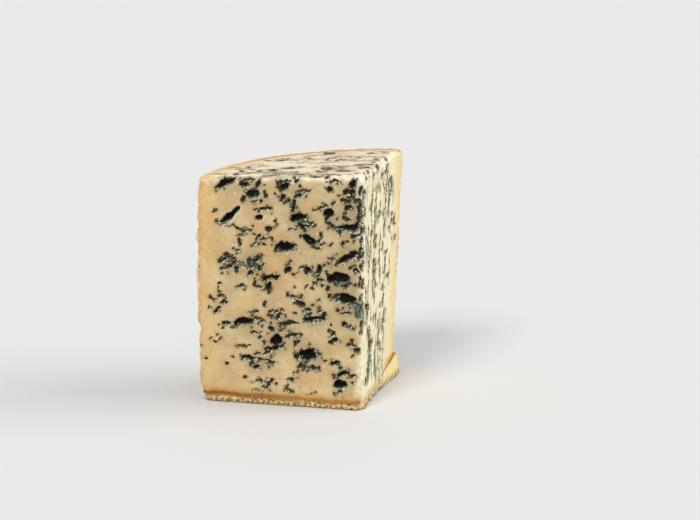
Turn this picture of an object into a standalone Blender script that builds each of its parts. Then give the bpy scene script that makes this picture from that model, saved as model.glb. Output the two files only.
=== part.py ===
"""Wedge of blue cheese cut from a small wheel, standing on its bottom rind.

The cutting edge, where the two cut faces meet, points to -Y. The rind wall is at +Y.
The two cut faces look to the front left and to the front right.
"""
import math

import bmesh
import bpy
from mathutils import Matrix, Vector, noise
from mathutils.geometry import delaunay_2d_cdt

MM = 0.001

# Driving sizes
WHEEL_RADIUS = 89.8 * MM          # the wheel's wall, near the top and the bottom
BARREL_BULGE = 1.5 * MM           # the wall is fuller at mid height
BULGE_HEIGHT = 70.0 * MM
WEDGE_ANGLE = math.radians(87.9)
HEIGHT_AT_EDGE = 125.7 * MM       # top face above the cutting edge
HEIGHT_LEFT_RIM = 121.4 * MM      # top face sinks toward the left corner of the rind
HEIGHT_RIGHT_RIM = 125.7 * MM
TOP_DOME = 0.5 * MM
EDGE_FILLET = 4.0 * MM            # worn cutting edge
RIM_FILLET = 1.6 * MM             # where a cut face meets the rind wall
TOP_FILLET = 3.0 * MM             # worn edge around the top face
FOOT_ROUND = 5.0 * MM             # the wall turns in to the bottom rind
FOOT_ROUND_HEIGHT = 7.0 * MM

# The right cut face was cut with a turned knife: it leans in at the bottom, out at the top
RIGHT_LEAN_BASE = -3.4 * MM
RIGHT_LEAN_TOP = 1.8 * MM
RIGHT_LEAN_POWER = 1.2

# The bottom rind stands apart below a small step all the way round
STEP_HEIGHT_RIM = 6.0 * MM
STEP_HEIGHT_EDGE = 5.2 * MM
STEP_DEPTH = 0.9 * MM
# At the right outer corner a thin ear of bottom rind has come away from the paste
EAR_HEIGHT = 10.8 * MM
EAR_START = 36.0 * MM             # distance from the cutting edge
EAR_OUT = 3.5 * MM
EAR_WRAP = 9.0 * MM               # how far it runs on round the rind wall

# Relief of the surfaces
PASTE_RELIEF = 0.25 * MM
RIND_RELIEF = 0.45 * MM
RIND_RELIEF_SIZE = 8.0 * MM

# Mesh spacing
FACE_STEPS = 19
WALL_STEPS = 30
HEIGHT_STEPS = 23
TOP_GRID = 6.5 * MM

# Open mould hollows: face, distance from the cutting edge, height,
# half length, half width, tilt in degrees, depth (all in mm)
HOLLOWS = [
    ("left", 71.5, 102.0, 6.0, 1.9, 42, 3.0),
    ("left", 74.0, 117.0, 4.6, 1.6, 35, 2.2),
    ("left", 35.0, 102.3, 3.4, 2.5, 0, 3.0),
    ("left", 28.5, 90.6, 4.0, 1.9, -40, 2.6),
    ("left", 42.0, 86.0, 4.5, 2.6, 5, 3.4),
    ("left", 8.5, 82.6, 4.4, 1.7, 24, 2.0),
    ("left", 12.5, 70.8, 5.2, 2.6, 0, 2.8),
    ("left", 8.6, 59.8, 4.2, 2.3, -15, 2.2),
    ("left", 6.6, 98.0, 3.6, 2.0, 5, 1.8),
    ("left", 17.5, 105.5, 2.6, 2.2, 0, 2.2),
    ("left", 50.0, 69.5, 4.2, 1.3, 5, 1.8),
    ("left", 65.0, 44.2, 4.4, 2.0, 10, 2.6),
    ("left", 47.0, 34.2, 3.2, 3.0, 10, 3.0),
    ("left", 62.0, 24.8, 3.3, 1.3, -8, 2.2),
    ("left", 57.6, 20.0, 2.2, 1.5, 0, 2.0),
    ("left", 29.5, 28.3, 4.2, 2.8, 0, 3.0),
    ("left", 11.5, 13.2, 3.2, 2.4, 0, 2.6),
    ("left", 24.0, 48.4, 3.6, 1.2, 0, 1.8),
    ("left", 55.8, 101.5, 1.9, 1.6, 0, 1.6),
    ("left", 29.4, 74.4, 2.2, 1.7, -20, 2.0),
    ("left", 22.8, 75.0, 1.5, 2.3, 0, 2.0),
    ("left", 12.0, 19.2, 2.6, 1.3, 10, 1.8),
    ("left", 50.0, 12.2, 2.4, 1.3, 20, 1.6),
    ("right", 24.0, 30.0, 3.6, 4.6, 0, 2.4),
    ("right", 33.0, 71.0, 3.4, 4.0, 0, 2.4),
    ("right", 63.0, 97.0, 2.8, 3.8, 10, 2.2),
    ("right", 55.0, 48.0, 2.6, 4.2, -15, 2.2),
    ("right", 20.0, 106.0, 2.4, 3.6, 0, 2.0),
]
HOLLOW_ROUGHNESS = 0.26


def mix(a, b, t):
    return a + (b - a) * t


def smooth(low, high, x):
    t = min(max((x - low) / (high - low), 0.0), 1.0)
    return t * t * (3.0 - 2.0 * t)


def relief(x, y, z, size, seed):
    """Smooth hills of about -1 to 1, `size` apart."""
    at = Vector((x, y, z)) / size + Vector((seed * 7.3, seed * 3.1, seed * 5.7))
    return noise.noise(at) * 1.4


HALF = WEDGE_ANGLE / 2
RIGHT_ALONG = Vector((math.sin(HALF), math.cos(HALF), 0.0))
RIGHT_OUT = Vector((math.cos(HALF), -math.sin(HALF), 0.0))
LEFT_ALONG = Vector((-math.sin(HALF), math.cos(HALF), 0.0))
LEFT_OUT = Vector((-math.cos(HALF), -math.sin(HALF), 0.0))


def wheel_radius(z):
    bulge = BARREL_BULGE * (1.0 - ((z - BULGE_HEIGHT) / (60.0 * MM)) ** 2)
    foot = FOOT_ROUND * max(0.0, 1.0 - z / FOOT_ROUND_HEIGHT) ** 2
    return WHEEL_RADIUS + max(bulge, -1.0 * MM) - foot


def right_lean(r, z):
    t = min(max(z / (118.0 * MM), 0.0), 1.0) ** RIGHT_LEAN_POWER
    return mix(RIGHT_LEAN_BASE, RIGHT_LEAN_TOP, t) * r / WHEEL_RADIUS


def face_point(side, r, z, skipped=0.0):
    """Point on a cut face, r from where the face starts."""
    if side == "right":
        return RIGHT_ALONG * r + RIGHT_OUT * right_lean(r + skipped, z)
    return LEFT_ALONG * r


def top_height(x, y):
    """Height of the top face above the bottom rind."""
    r = math.hypot(x, y)
    turn = math.atan2(x, y) / WEDGE_ANGLE + 0.5
    rim = mix(HEIGHT_LEFT_RIM, HEIGHT_RIGHT_RIM, min(max(turn, 0.0), 1.0))
    part = min(r / WHEEL_RADIUS, 1.05)
    dome = TOP_DOME * 4.0 * part * (1.0 - part)
    return mix(HEIGHT_AT_EDGE, rim, part) + dome


def bend(a, corner, b, t):
    return a * (1 - t) ** 2 + corner * 2 * t * (1 - t) + b * t ** 2


def stations():
    """Places once round the wedge: (kind, share of the way along that kind)."""
    steps = [("edge", i / 6) for i in range(1, 6)]
    steps += [("right", i / FACE_STEPS) for i in range(FACE_STEPS + 1)]
    steps += [("right corner", 0.33), ("right corner", 0.67)]
    steps += [("wall", i / WALL_STEPS) for i in range(WALL_STEPS + 1)]
    steps += [("left corner", 0.33), ("left corner", 0.67)]
    steps += [("left", 1.0 - i / FACE_STEPS) for i in range(FACE_STEPS + 1)]
    return steps


def place(kind, t, z, inset=0.0):
    """Point, outward direction and distance along its side, for the outline drawn in by inset."""
    radius = wheel_radius(z) - inset
    start = Vector((0.0, inset / math.sin(HALF), 0.0))
    skipped = inset / math.tan(HALF)
    reach = math.sqrt(radius ** 2 - inset ** 2) - skipped
    edge_fillet = max(EDGE_FILLET - inset, 1.2 * MM)
    rim_fillet = max(RIM_FILLET - inset * 0.3, 0.9 * MM)

    def on_face(side, s):
        return start + face_point(side, s, z, skipped)

    corners = {side: on_face(side, reach) for side in ("left", "right")}
    turns = {side: math.atan2(p.x, p.y) for side, p in corners.items()}
    ends = {"left": turns["left"] + rim_fillet / radius, "right": turns["right"] - rim_fillet / radius}
    radii = {side: p.length for side, p in corners.items()}

    def on_wall(turn, distance):
        return Vector((math.sin(turn), math.cos(turn), 0.0)) * distance

    if kind == "edge":
        point = bend(on_face("left", edge_fillet), start, on_face("right", edge_fillet), t)
        return point, LEFT_OUT.lerp(RIGHT_OUT, t).normalized(), 0.0
    if kind in ("left", "right"):
        s = mix(edge_fillet, reach - rim_fillet, t)
        return on_face(kind, s), LEFT_OUT if kind == "left" else RIGHT_OUT, s + skipped
    if kind == "wall":
        turn = mix(ends["right"], ends["left"], t)
        distance = mix(radii["right"], radius, min(t * 6, 1.0))
        return on_wall(turn, distance), on_wall(turn, 1.0), t * radius * WEDGE_ANGLE
    side = kind.split()[0]
    on_side = on_face(side, reach - rim_fillet)
    beyond = on_wall(ends[side], radii[side])
    out = RIGHT_OUT if side == "right" else LEFT_OUT
    if side == "left":
        t = 1.0 - t
    point = bend(on_side, corners[side], beyond, t)
    return point, out.lerp(on_wall(ends[side], 1.0), t).normalized(), 0.0


def ear_amount(kind, along):
    if kind == "right":
        return smooth(EAR_START, 84 * MM, along)
    if kind == "right corner":
        return 1.0
    if kind == "wall":
        return 1.0 - smooth(0.0, EAR_WRAP, along)
    return 0.0


def step_height(kind, along):
    """Height of the line where the paste stops and the bottom rind begins."""
    if kind in ("left", "right"):
        plain = mix(STEP_HEIGHT_EDGE, STEP_HEIGHT_RIM, along / WHEEL_RADIUS)
    elif kind == "edge":
        plain = STEP_HEIGHT_EDGE
    else:
        plain = STEP_HEIGHT_RIM
    return mix(plain, EAR_HEIGHT, ear_amount(kind, along))


# Profile of the bottom rind: share of the step height and push out, plain and at the ear
FOOT_PROFILE = [
    (0.00, -0.1, 0.00, 1.04),
    (0.20, 0.4, 0.20, 1.08),
    (0.42, 0.2, 0.50, 1.00),
    (0.58, -0.8, 0.80, 0.83),
    (0.86, -1.0, 1.00, 0.55),
    (0.97, -0.8, 0.72, 0.12),
    (1.00, 0.0, 1.00, -0.03),
]


def foot_loop(number):
    share, push, ear_share, ear_push = FOOT_PROFILE[number]
    points = []
    for kind, t in stations():
        along = place(kind, t, 0.0)[2]
        ear = ear_amount(kind, along)
        z = mix(share, ear_share, ear) * step_height(kind, along)
        point, out, _ = place(kind, t, z)
        plain = push * STEP_DEPTH * (0.4 if kind == "wall" else 1.0)
        point = point + out * mix(plain, ear_push * EAR_OUT, ear)
        points.append(Vector((point.x, point.y, z)))
    return points


def wall_loop(share):
    """Loop at a share of the way from the step to the top fillet."""
    points = []
    for kind, t in stations():
        low, _, along = place(kind, t, STEP_HEIGHT_RIM)
        z = mix(step_height(kind, along), top_height(low.x, low.y) - TOP_FILLET, share)
        point, out, _ = place(kind, t, z)
        if kind == "wall":
            push = RIND_RELIEF * relief(point.x, point.y, z, RIND_RELIEF_SIZE, 1)
        else:
            push = PASTE_RELIEF * relief(point.x, point.y, z, 22 * MM, 2)
        point = point + out * push * smooth(0.0, 0.04, share)
        points.append(Vector((point.x, point.y, z)))
    return points


def fillet_loop(last, turn):
    """Loop on the worn edge round the top; turn runs from 0 to a quarter circle."""
    points = []
    for (kind, t), low in zip(stations(), last):
        point, _, _ = place(kind, t, low.z, TOP_FILLET * (1.0 - math.cos(turn)))
        slack = low - place(kind, t, low.z)[0]
        z = top_height(point.x, point.y) - TOP_FILLET * (1.0 - math.sin(turn))
        points.append(Vector((point.x + slack.x, point.y + slack.y, z)))
    return points


def inside(point, polygon, margin):
    """True where the point is in the polygon and at least margin from its sides."""
    hit = False
    for a, b in zip(polygon, polygon[1:] + polygon[:1]):
        if (a.y > point.y) != (b.y > point.y):
            if point.x < a.x + (point.y - a.y) / (b.y - a.y) * (b.x - a.x):
                hit = not hit
        side = b - a
        t = min(max((point - a).dot(side) / max(side.length_squared, 1e-12), 0.0), 1.0)
        if (a + side * t - point).length < margin:
            return False
    return hit


def top_cap(ring):
    """Inner points and triangles of the top face inside its ring."""
    polygon = [Vector((p.x, p.y)) for p in ring]
    points = list(polygon)
    rows = int(WHEEL_RADIUS / (TOP_GRID * 0.866)) + 1
    for row in range(rows):
        y = row * TOP_GRID * 0.866
        shift = TOP_GRID / 2 if row % 2 else 0.0
        for column in range(-12, 13):
            at = Vector((column * TOP_GRID + shift, y))
            if inside(at, polygon, TOP_GRID * 0.55):
                points.append(at)
    count = len(polygon)
    border = [(i, (i + 1) % count) for i in range(count)]
    result = delaunay_2d_cdt(points, border, [], 1, 1e-9)
    return result[0], result[2]


def make_body():
    loops = [foot_loop(i) for i in range(len(FOOT_PROFILE))]
    for i in range(1, HEIGHT_STEPS + 1):
        loops.append(wall_loop(i / HEIGHT_STEPS))
    last = loops[-1]
    for degrees in (30, 60, 90):
        loops.append(fillet_loop(last, math.radians(degrees)))
    bm = bmesh.new()
    rows = [[bm.verts.new(p) for p in loop] for loop in loops]
    count = len(rows[0])
    for low, high in zip(rows, rows[1:]):
        for i in range(count):
            j = (i + 1) % count
            bm.faces.new((low[i], low[j], high[j], high[i]))
    bm.faces.new(list(reversed(rows[0])))
    points, triangles = top_cap(loops[-1])
    ring = rows[-1]
    placed = list(ring)
    for p in points[count:]:
        z = top_height(p.x, p.y) + PASTE_RELIEF * relief(p.x, p.y, 0.0, 18 * MM, 3)
        placed.append(bm.verts.new((p.x, p.y, z)))
    for triangle in triangles:
        bm.faces.new([placed[i] for i in triangle])
    bmesh.ops.triangulate(bm, faces=bm.faces[:])
    bmesh.ops.recalc_face_normals(bm, faces=bm.faces[:])
    mesh = bpy.data.meshes.new("cheese_wedge")
    bm.to_mesh(mesh)
    bm.free()
    body = bpy.data.objects.new("cheese_wedge", mesh)
    bpy.context.collection.objects.link(body)
    return body


def make_cutters():
    """One object with a rough pebble at every hollow."""
    bm = bmesh.new()
    for number, (side, r, z, half_long, half_wide, tilt, depth) in enumerate(HOLLOWS):
        along = LEFT_ALONG * -1 if side == "left" else RIGHT_ALONG
        out = LEFT_OUT if side == "left" else RIGHT_OUT
        centre = face_point(side, r * MM, z * MM) + Vector((0, 0, z * MM)) + out * 0.25 * depth * MM
        made = bmesh.ops.create_icosphere(bm, subdivisions=2, radius=1.0)
        frame = Matrix((along, out, Vector((0, 0, 1)))).transposed()
        spin = Matrix.Rotation(math.radians(-tilt), 3, "Y")
        for vert in made["verts"]:
            p = vert.co
            swell = 1.0 + HOLLOW_ROUGHNESS * noise.noise(p * 1.7 + Vector((number * 4.1, 0, 0))) * 1.6
            local = Vector((p.x * half_long, p.y * depth * 1.25, p.z * half_wide)) * swell * MM
            vert.co = centre + frame @ (spin @ local)
    bmesh.ops.recalc_face_normals(bm, faces=bm.faces[:])
    mesh = bpy.data.meshes.new("hollow_cutters")
    bm.to_mesh(mesh)
    bm.free()
    cutters = bpy.data.objects.new("hollow_cutters", mesh)
    bpy.context.collection.objects.link(cutters)
    cutters.hide_render = True
    cutters.display_type = "WIRE"
    return cutters


def cut_hollows(body, cutters):
    cut = body.modifiers.new("hollows", "BOOLEAN")
    cut.operation = "DIFFERENCE"
    cut.solver = "EXACT"
    cut.object = cutters
    bpy.context.view_layer.update()
    ready = body.evaluated_get(bpy.context.evaluated_depsgraph_get())
    mesh = bpy.data.meshes.new_from_object(ready)
    body.modifiers.clear()
    body.data = mesh
    bpy.data.objects.remove(cutters)


def settle(body):
    """Clean the mesh and put the middle of its bottom at the origin."""
    bm = bmesh.new()
    bm.from_mesh(body.data)
    bmesh.ops.triangulate(bm, faces=bm.faces[:])
    bmesh.ops.dissolve_degenerate(bm, dist=0.02 * MM, edges=bm.edges[:])
    bmesh.ops.triangulate(bm, faces=bm.faces[:])
    low = Vector([min(v.co[i] for v in bm.verts) for i in range(3)])
    high = Vector([max(v.co[i] for v in bm.verts) for i in range(3)])
    middle = (low + high) / 2
    middle.z = low.z
    for vert in bm.verts:
        vert.co -= middle
    bm.to_mesh(body.data)
    bm.free()
    body.data.name = "cheese_wedge"
    print("size mm", [round(v * 1000, 2) for v in high - low])
    print("cutting edge at mm", [round(-v * 1000, 2) for v in middle])
    print("triangles", len(body.data.polygons))


def paste_material():
    material = bpy.data.materials.new("cheese_paste")
    material.use_nodes = True
    shader = material.node_tree.nodes["Principled BSDF"]
    shader.inputs["Base Color"].default_value = (0.70, 0.52, 0.28, 1)
    shader.inputs["Roughness"].default_value = 0.5
    return material


for old in list(bpy.data.objects):
    bpy.data.objects.remove(old)

wedge = make_body()
cut_hollows(wedge, make_cutters())
settle(wedge)
wedge.data.materials.clear()
wedge.data.materials.append(paste_material())
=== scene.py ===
import functools
import math

import bpy
import numpy as np
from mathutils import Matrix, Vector, noise
from mathutils.geometry import delaunay_2d_cdt


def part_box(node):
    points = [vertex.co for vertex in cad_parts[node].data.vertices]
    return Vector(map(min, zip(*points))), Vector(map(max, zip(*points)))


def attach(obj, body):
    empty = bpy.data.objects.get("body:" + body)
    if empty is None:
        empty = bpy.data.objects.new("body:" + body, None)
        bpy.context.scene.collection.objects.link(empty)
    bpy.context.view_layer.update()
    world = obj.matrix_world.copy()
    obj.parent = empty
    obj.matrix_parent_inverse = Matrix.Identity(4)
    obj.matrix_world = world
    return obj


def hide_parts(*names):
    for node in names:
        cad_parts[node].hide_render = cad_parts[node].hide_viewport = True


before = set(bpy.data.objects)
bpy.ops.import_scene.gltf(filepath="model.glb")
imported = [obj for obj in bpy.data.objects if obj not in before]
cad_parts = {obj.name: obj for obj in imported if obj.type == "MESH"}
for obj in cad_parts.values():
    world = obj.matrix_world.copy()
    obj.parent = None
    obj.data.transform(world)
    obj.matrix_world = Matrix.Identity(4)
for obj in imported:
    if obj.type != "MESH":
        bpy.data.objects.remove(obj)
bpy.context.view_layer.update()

boxLow, boxHigh = (np.array(corner) * 1000 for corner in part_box("cheese_wedge"))
scene = bpy.context.scene
noise.seed_set(5)        # the same wandering outlines on every run
print("frame loaded, wedge is", np.round(boxHigh - boxLow, 1), "mm")

# ---- the wedge's form, in mm, measured from the cutting edge ----

wedge = {
    "wheelRadius": 89.8, "bulge": 1.5, "bulgeHeight": 70.0,
    "angle": 87.9,
    "heightAtEdge": 125.7, "heightLeftRim": 121.4, "heightRightRim": 125.7, "dome": 0.5,
    "edgeFillet": 4.0, "rimFillet": 1.6, "topFillet": 3.0,
    "footRound": 5.0, "footRoundHeight": 7.0,
    "leanBase": -3.4, "leanTop": 1.8, "leanPower": 1.2,    # the right face was cut with a turned knife
    "stepRim": 6.0, "stepEdge": 5.2, "stepDepth": 0.9,     # small step above the bottom rind
    "earHeight": 10.8, "earStart": 36.0, "earOut": 3.5, "earWrap": 9.0,
    "pasteRelief": 0.25, "rindRelief": 0.45, "rindReliefSize": 8.0,
    "spacing": 1.5,          # coarse mesh, refined later where there is mould or rind
}

half = math.radians(wedge["angle"]) / 2
along = {"left": complex(-math.sin(half), math.cos(half)), "right": complex(math.sin(half), math.cos(half))}
out = {"left": complex(-math.cos(half), -math.sin(half)), "right": complex(math.cos(half), -math.sin(half))}


def ease(low, high, x):
    t = np.clip((np.asarray(x, float) - low) / (high - low), 0, 1)
    return t * t * (3 - 2 * t)


def blend(a, b, t):
    return a + (b - a) * t


def wheelRadius(z):
    bulge = wedge["bulge"] * (1 - ((z - wedge["bulgeHeight"]) / 60) ** 2)
    foot = wedge["footRound"] * np.maximum(0, 1 - z / wedge["footRoundHeight"]) ** 2
    return wedge["wheelRadius"] + np.maximum(bulge, -1) - foot


def lean(r, z):
    t = np.clip(z / 118, 0, 1) ** wedge["leanPower"]
    return blend(wedge["leanBase"], wedge["leanTop"], t) * r / wedge["wheelRadius"]


def topHeight(x, y):
    turn = np.clip(np.arctan2(x, y) / (2 * half) + 0.5, 0, 1)
    rim = blend(wedge["heightLeftRim"], wedge["heightRightRim"], turn)
    part = np.minimum(np.hypot(x, y) / wedge["wheelRadius"], 1.05)
    return blend(wedge["heightAtEdge"], rim, part) + wedge["dome"] * 4 * part * (1 - part)


# smooth hills of about -1 to 1, one value per point
def hills(points, size, seed):
    shift = Vector((seed * 7.3, seed * 3.1, seed * 5.7))
    return np.array([noise.noise(Vector(p) / size + shift) for p in points.tolist()]) * 1.4


def drift(points, size, seed):
    shift = Vector((seed * 7.3, seed * 3.1, seed * 5.7))
    return np.array([noise.noise_vector(Vector(p) / size + shift) for p in points.tolist()])


def makeStations():
    faceSteps = int(86 / wedge["spacing"])
    wallSteps = int(137 / wedge["spacing"])
    kinds = [("edge", i / 9) for i in range(1, 9)]
    kinds += [("right", i / faceSteps) for i in range(faceSteps + 1)]
    kinds += [("right corner", i / 4) for i in (1, 2, 3)]
    kinds += [("wall", i / wallSteps) for i in range(wallSteps + 1)]
    kinds += [("left corner", i / 4) for i in (1, 2, 3)]
    kinds += [("left", 1 - i / faceSteps) for i in range(faceSteps + 1)]
    return np.array([k for k, _ in kinds]), np.array([t for _, t in kinds])


stationKind, stationT = makeStations()


# one outline round the wedge at height z, drawn in by inset: points, outward ways, distance along the side
def outlineRow(z, inset=0.0):
    z = np.broadcast_to(np.asarray(z, float), stationT.shape)
    t = stationT
    radius = wheelRadius(z) - inset
    start = 1j * inset / math.sin(half)
    skipped = inset / math.tan(half)
    reach = np.sqrt(radius ** 2 - inset ** 2) - skipped
    edgeFillet = max(wedge["edgeFillet"] - inset, 1.2)
    rimFillet = max(wedge["rimFillet"] - 0.3 * inset, 0.9)

    def onFace(side, s):
        push = lean(s + skipped, z) if side == "right" else 0.0
        return start + along[side] * s + out[side] * push

    def bend(a, corner, b, t):
        return a * (1 - t) ** 2 + corner * 2 * t * (1 - t) + b * t ** 2

    corner = {side: onFace(side, reach) for side in along}
    turn = {side: np.arctan2(p.real, p.imag) for side, p in corner.items()}
    endTurn = {"left": turn["left"] + rimFillet / radius, "right": turn["right"] - rimFillet / radius}
    way = {side: np.sin(a) + 1j * np.cos(a) for side, a in endTurn.items()}
    distance = {side: np.abs(p) for side, p in corner.items()}

    point = bend(onFace("left", edgeFillet), start, onFace("right", edgeFillet), t)
    outward = blend(out["left"], out["right"], t)
    side = np.zeros(len(t))
    for name in ("left", "right"):
        here = stationKind == name
        s = blend(edgeFillet, reach - rimFillet, t)
        point = np.where(here, onFace(name, s), point)
        outward = np.where(here, out[name], outward)
        side = np.where(here, s + skipped, side)
        here = stationKind == name + " corner"
        u = 1 - t if name == "left" else t
        rounded = bend(onFace(name, reach - rimFillet), corner[name], way[name] * distance[name], u)
        point = np.where(here, rounded, point)
        outward = np.where(here, blend(out[name], way[name], u), outward)
    here = stationKind == "wall"
    a = blend(endTurn["right"], endTurn["left"], t)
    onWall = np.sin(a) + 1j * np.cos(a)
    point = np.where(here, onWall * blend(distance["right"], radius, np.minimum(t * 6, 1)), point)
    outward = np.where(here, onWall, outward)
    side = np.where(here, t * radius * 2 * half, side)
    return point, outward / np.abs(outward), side


def earAmount(side):
    ear = np.zeros(len(stationT))
    ear = np.where(stationKind == "right", ease(wedge["earStart"], 84, side), ear)
    ear = np.where(stationKind == "right corner", 1.0, ear)
    return np.where(stationKind == "wall", 1 - ease(0, wedge["earWrap"], side), ear)


def stepHeight(side):
    onFace = np.isin(stationKind, ("left", "right"))
    plain = np.where(onFace, blend(wedge["stepEdge"], wedge["stepRim"], side / wedge["wheelRadius"]), wedge["stepRim"])
    plain = np.where(stationKind == "edge", wedge["stepEdge"], plain)
    return blend(plain, wedge["earHeight"], earAmount(side))


# the bottom rind seen from the side: share of the step height and push out, plain and at the ear
footProfile = np.array([
    (0.00, -0.1, 0.00, 1.04),
    (0.20, 0.4, 0.20, 1.08),
    (0.42, 0.2, 0.50, 1.00),
    (0.58, -0.8, 0.80, 0.83),
    (0.80, -1.0, 1.00, 0.55),
    (0.90, -0.9, 0.72, 0.12),
    (1.00, -0.6, 1.00, -0.03),
])


# how sharply the ledge is cut: crisp towards the rind, soft near the cutting edge and on the right face
def ledgeSharpness(side):
    sharp = np.where(stationKind == "left", ease(5, 85, side) * 0.8 + 0.25, 0.3)
    return np.where(np.isin(stationKind, ("wall", "left corner")), 0.4, sharp) * (1 - earAmount(side))


def spread(complexPoints, z):
    return np.column_stack([complexPoints.real, complexPoints.imag, z])


def footRow(at):
    share, push, earShare, earPush = (np.interp(at, np.arange(7), column) for column in footProfile.T)
    ear = earAmount(outlineRow(0.0)[2])
    z = blend(share, earShare, ear) * stepHeight(outlineRow(0.0)[2])
    point, outward, side = outlineRow(z)
    plain = push * wedge["stepDepth"] * ledgeSharpness(side)
    return spread(point + outward * (plain + ear * earPush * wedge["earOut"]), z)


def wallRow(share):
    low, _, side = outlineRow(wedge["stepRim"])
    z = blend(stepHeight(side), topHeight(low.real, low.imag) - wedge["topFillet"], share)
    point, outward, _ = outlineRow(z)
    flat = spread(point, z)
    push = np.where(stationKind == "wall", wedge["rindRelief"] * hills(flat, wedge["rindReliefSize"], 1),
                    wedge["pasteRelief"] * hills(flat, 22, 2))
    ledge = footProfile[-1, 1] * wedge["stepDepth"] * ledgeSharpness(side) * ease(2.6, 0.0, z - stepHeight(side))
    return spread(point + outward * (push * ease(0, 0.04, share) + ledge), z)


def filletRow(last, turn):
    inset = wedge["topFillet"] * (1 - math.cos(turn))
    slack = last[:, 0] + 1j * last[:, 1] - outlineRow(last[:, 2])[0]
    point = outlineRow(last[:, 2], inset)[0]
    z = topHeight(point.real, point.imag) - wedge["topFillet"] * (1 - math.sin(turn))
    return spread(point + slack, z)


# fills a flat ring with an even triangle mesh
def fillRing(ring, spacing):
    edge = ring[:, 0] + 1j * ring[:, 1]
    xs, rows = np.arange(-66, 66, spacing), np.arange(0, 95, spacing * 0.866)
    inner = np.array([complex(x + (spacing / 2 if i % 2 else 0), y) for i, y in enumerate(rows) for x in xs])
    keep = np.abs(inner) < np.abs(edge).max() + 5
    for _ in range(2):
        inner = inner[keep]
        keep = np.abs(inner[:, None] - edge[None, :]).min(1) > spacing * 0.6
    turn = np.angle((edge[None, :] - inner[:, None]))
    step = np.diff(np.concatenate([turn, turn[:, :1]], 1), axis=1)
    winding = ((step + np.pi) % (2 * np.pi) - np.pi).sum(1)
    inner = inner[np.abs(winding) > 3]
    count = len(edge)
    points = [Vector((p.real, p.imag)) for p in np.concatenate([edge, inner])]
    border = [(i, (i + 1) % count) for i in range(count)]
    result = delaunay_2d_cdt(points, border, [], 1, 1e-9)
    return np.array([tuple(p) for p in result[0]])[count:], np.array(result[2])


def buildWedge():
    rows = [footRow(at) for at in np.linspace(0, 6, 19)]
    steps = int(116 / wedge["spacing"])
    rows += [wallRow(i / steps) for i in range(1, steps + 1)]
    last = rows[-1]
    rows += [filletRow(last, math.radians(a)) for a in (15, 30, 45, 60, 75, 90)]
    grid = np.array(rows)
    count, width = grid.shape[:2]
    low = (np.arange(count - 1)[:, None] * width + np.arange(width)[None, :]).ravel()
    lowNext = (np.arange(count - 1)[:, None] * width + (np.arange(width) + 1)[None, :] % width).ravel()
    triangles = [np.column_stack([low, lowNext, lowNext + width]), np.column_stack([low, lowNext + width, low + width])]
    points = [grid.reshape(-1, 3)]
    total = len(points[0])
    for ring, first, height in ((grid[-1], (count - 1) * width, topHeight), (grid[0], 0, None)):
        inner, faces = fillRing(ring, wedge["spacing"])
        number = np.concatenate([first + np.arange(width), total + np.arange(len(inner))])
        z = topHeight(inner[:, 0], inner[:, 1]) if height else np.zeros(len(inner))
        level = np.column_stack([inner, z])
        if height:
            level[:, 2] += wedge["pasteRelief"] * hills(np.column_stack([inner, 0 * z]), 18, 3)
        points.append(level)
        faces = number[faces]
        triangles.append(faces if height else faces[:, ::-1])
        total += len(inner)
    return np.concatenate(points), np.concatenate(triangles)


# splits every edge longer than wanted(midpoints), always through each triangle's longest side
def refine(points, triangles, wanted, rounds):
    for _ in range(rounds):
        sides = np.sort(triangles[:, [0, 1, 1, 2, 2, 0]].reshape(-1, 2), axis=1)
        edges, back = np.unique(sides, axis=0, return_inverse=True)
        back = back.reshape(-1, 3)
        length = np.linalg.norm(points[edges[:, 0]] - points[edges[:, 1]], axis=1)
        middle = (points[edges[:, 0]] + points[edges[:, 1]]) / 2
        split = length > wanted(middle) * 1.35
        longest = back[np.arange(len(back)), np.argmax(length[back], axis=1)]
        while True:
            touched = split[back].any(1)
            if split[longest[touched]].all():
                break
            split[longest[touched]] = True
        if not split.any():
            break
        number = np.full(len(edges), -1)
        number[split] = len(points) + np.arange(split.sum())
        points = np.concatenate([points, middle[split]])
        # turn every triangle so that its longest side comes first
        turn = np.argmax(length[back], axis=1)
        pick = (turn[:, None] + np.arange(3)[None, :]) % 3
        tri = np.take_along_axis(triangles, pick, 1)
        mid = number[np.take_along_axis(back, pick, 1)]
        a, b, c = tri.T
        ab, bc, ca = mid.T
        one = (ab >= 0) & (bc < 0) & (ca < 0)
        two = (ab >= 0) & (bc >= 0) & (ca < 0)
        other = (ab >= 0) & (bc < 0) & (ca >= 0)
        three = (ab >= 0) & (bc >= 0) & (ca >= 0)
        triangles = np.concatenate([
            tri[ab < 0],
            np.column_stack([a, ab, c])[one], np.column_stack([ab, b, c])[one],
            np.column_stack([a, ab, c])[two], np.column_stack([ab, b, bc])[two], np.column_stack([ab, bc, c])[two],
            np.column_stack([ab, b, c])[other], np.column_stack([a, ab, ca])[other], np.column_stack([ab, c, ca])[other],
            np.column_stack([a, ab, ca])[three], np.column_stack([ab, b, bc])[three],
            np.column_stack([ca, bc, c])[three], np.column_stack([ab, bc, ca])[three],
        ])
    return points, triangles


def pointNormals(points, triangles):
    a, b, c = (points[triangles[:, i]] for i in range(3))
    flat = np.cross(b - a, c - a)
    normals = np.zeros_like(points)
    for i in range(3):
        np.add.at(normals, triangles[:, i], flat)
    return normals / np.maximum(np.linalg.norm(normals, axis=1), 1e-12)[:, None]


# ---- mould ----

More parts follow.
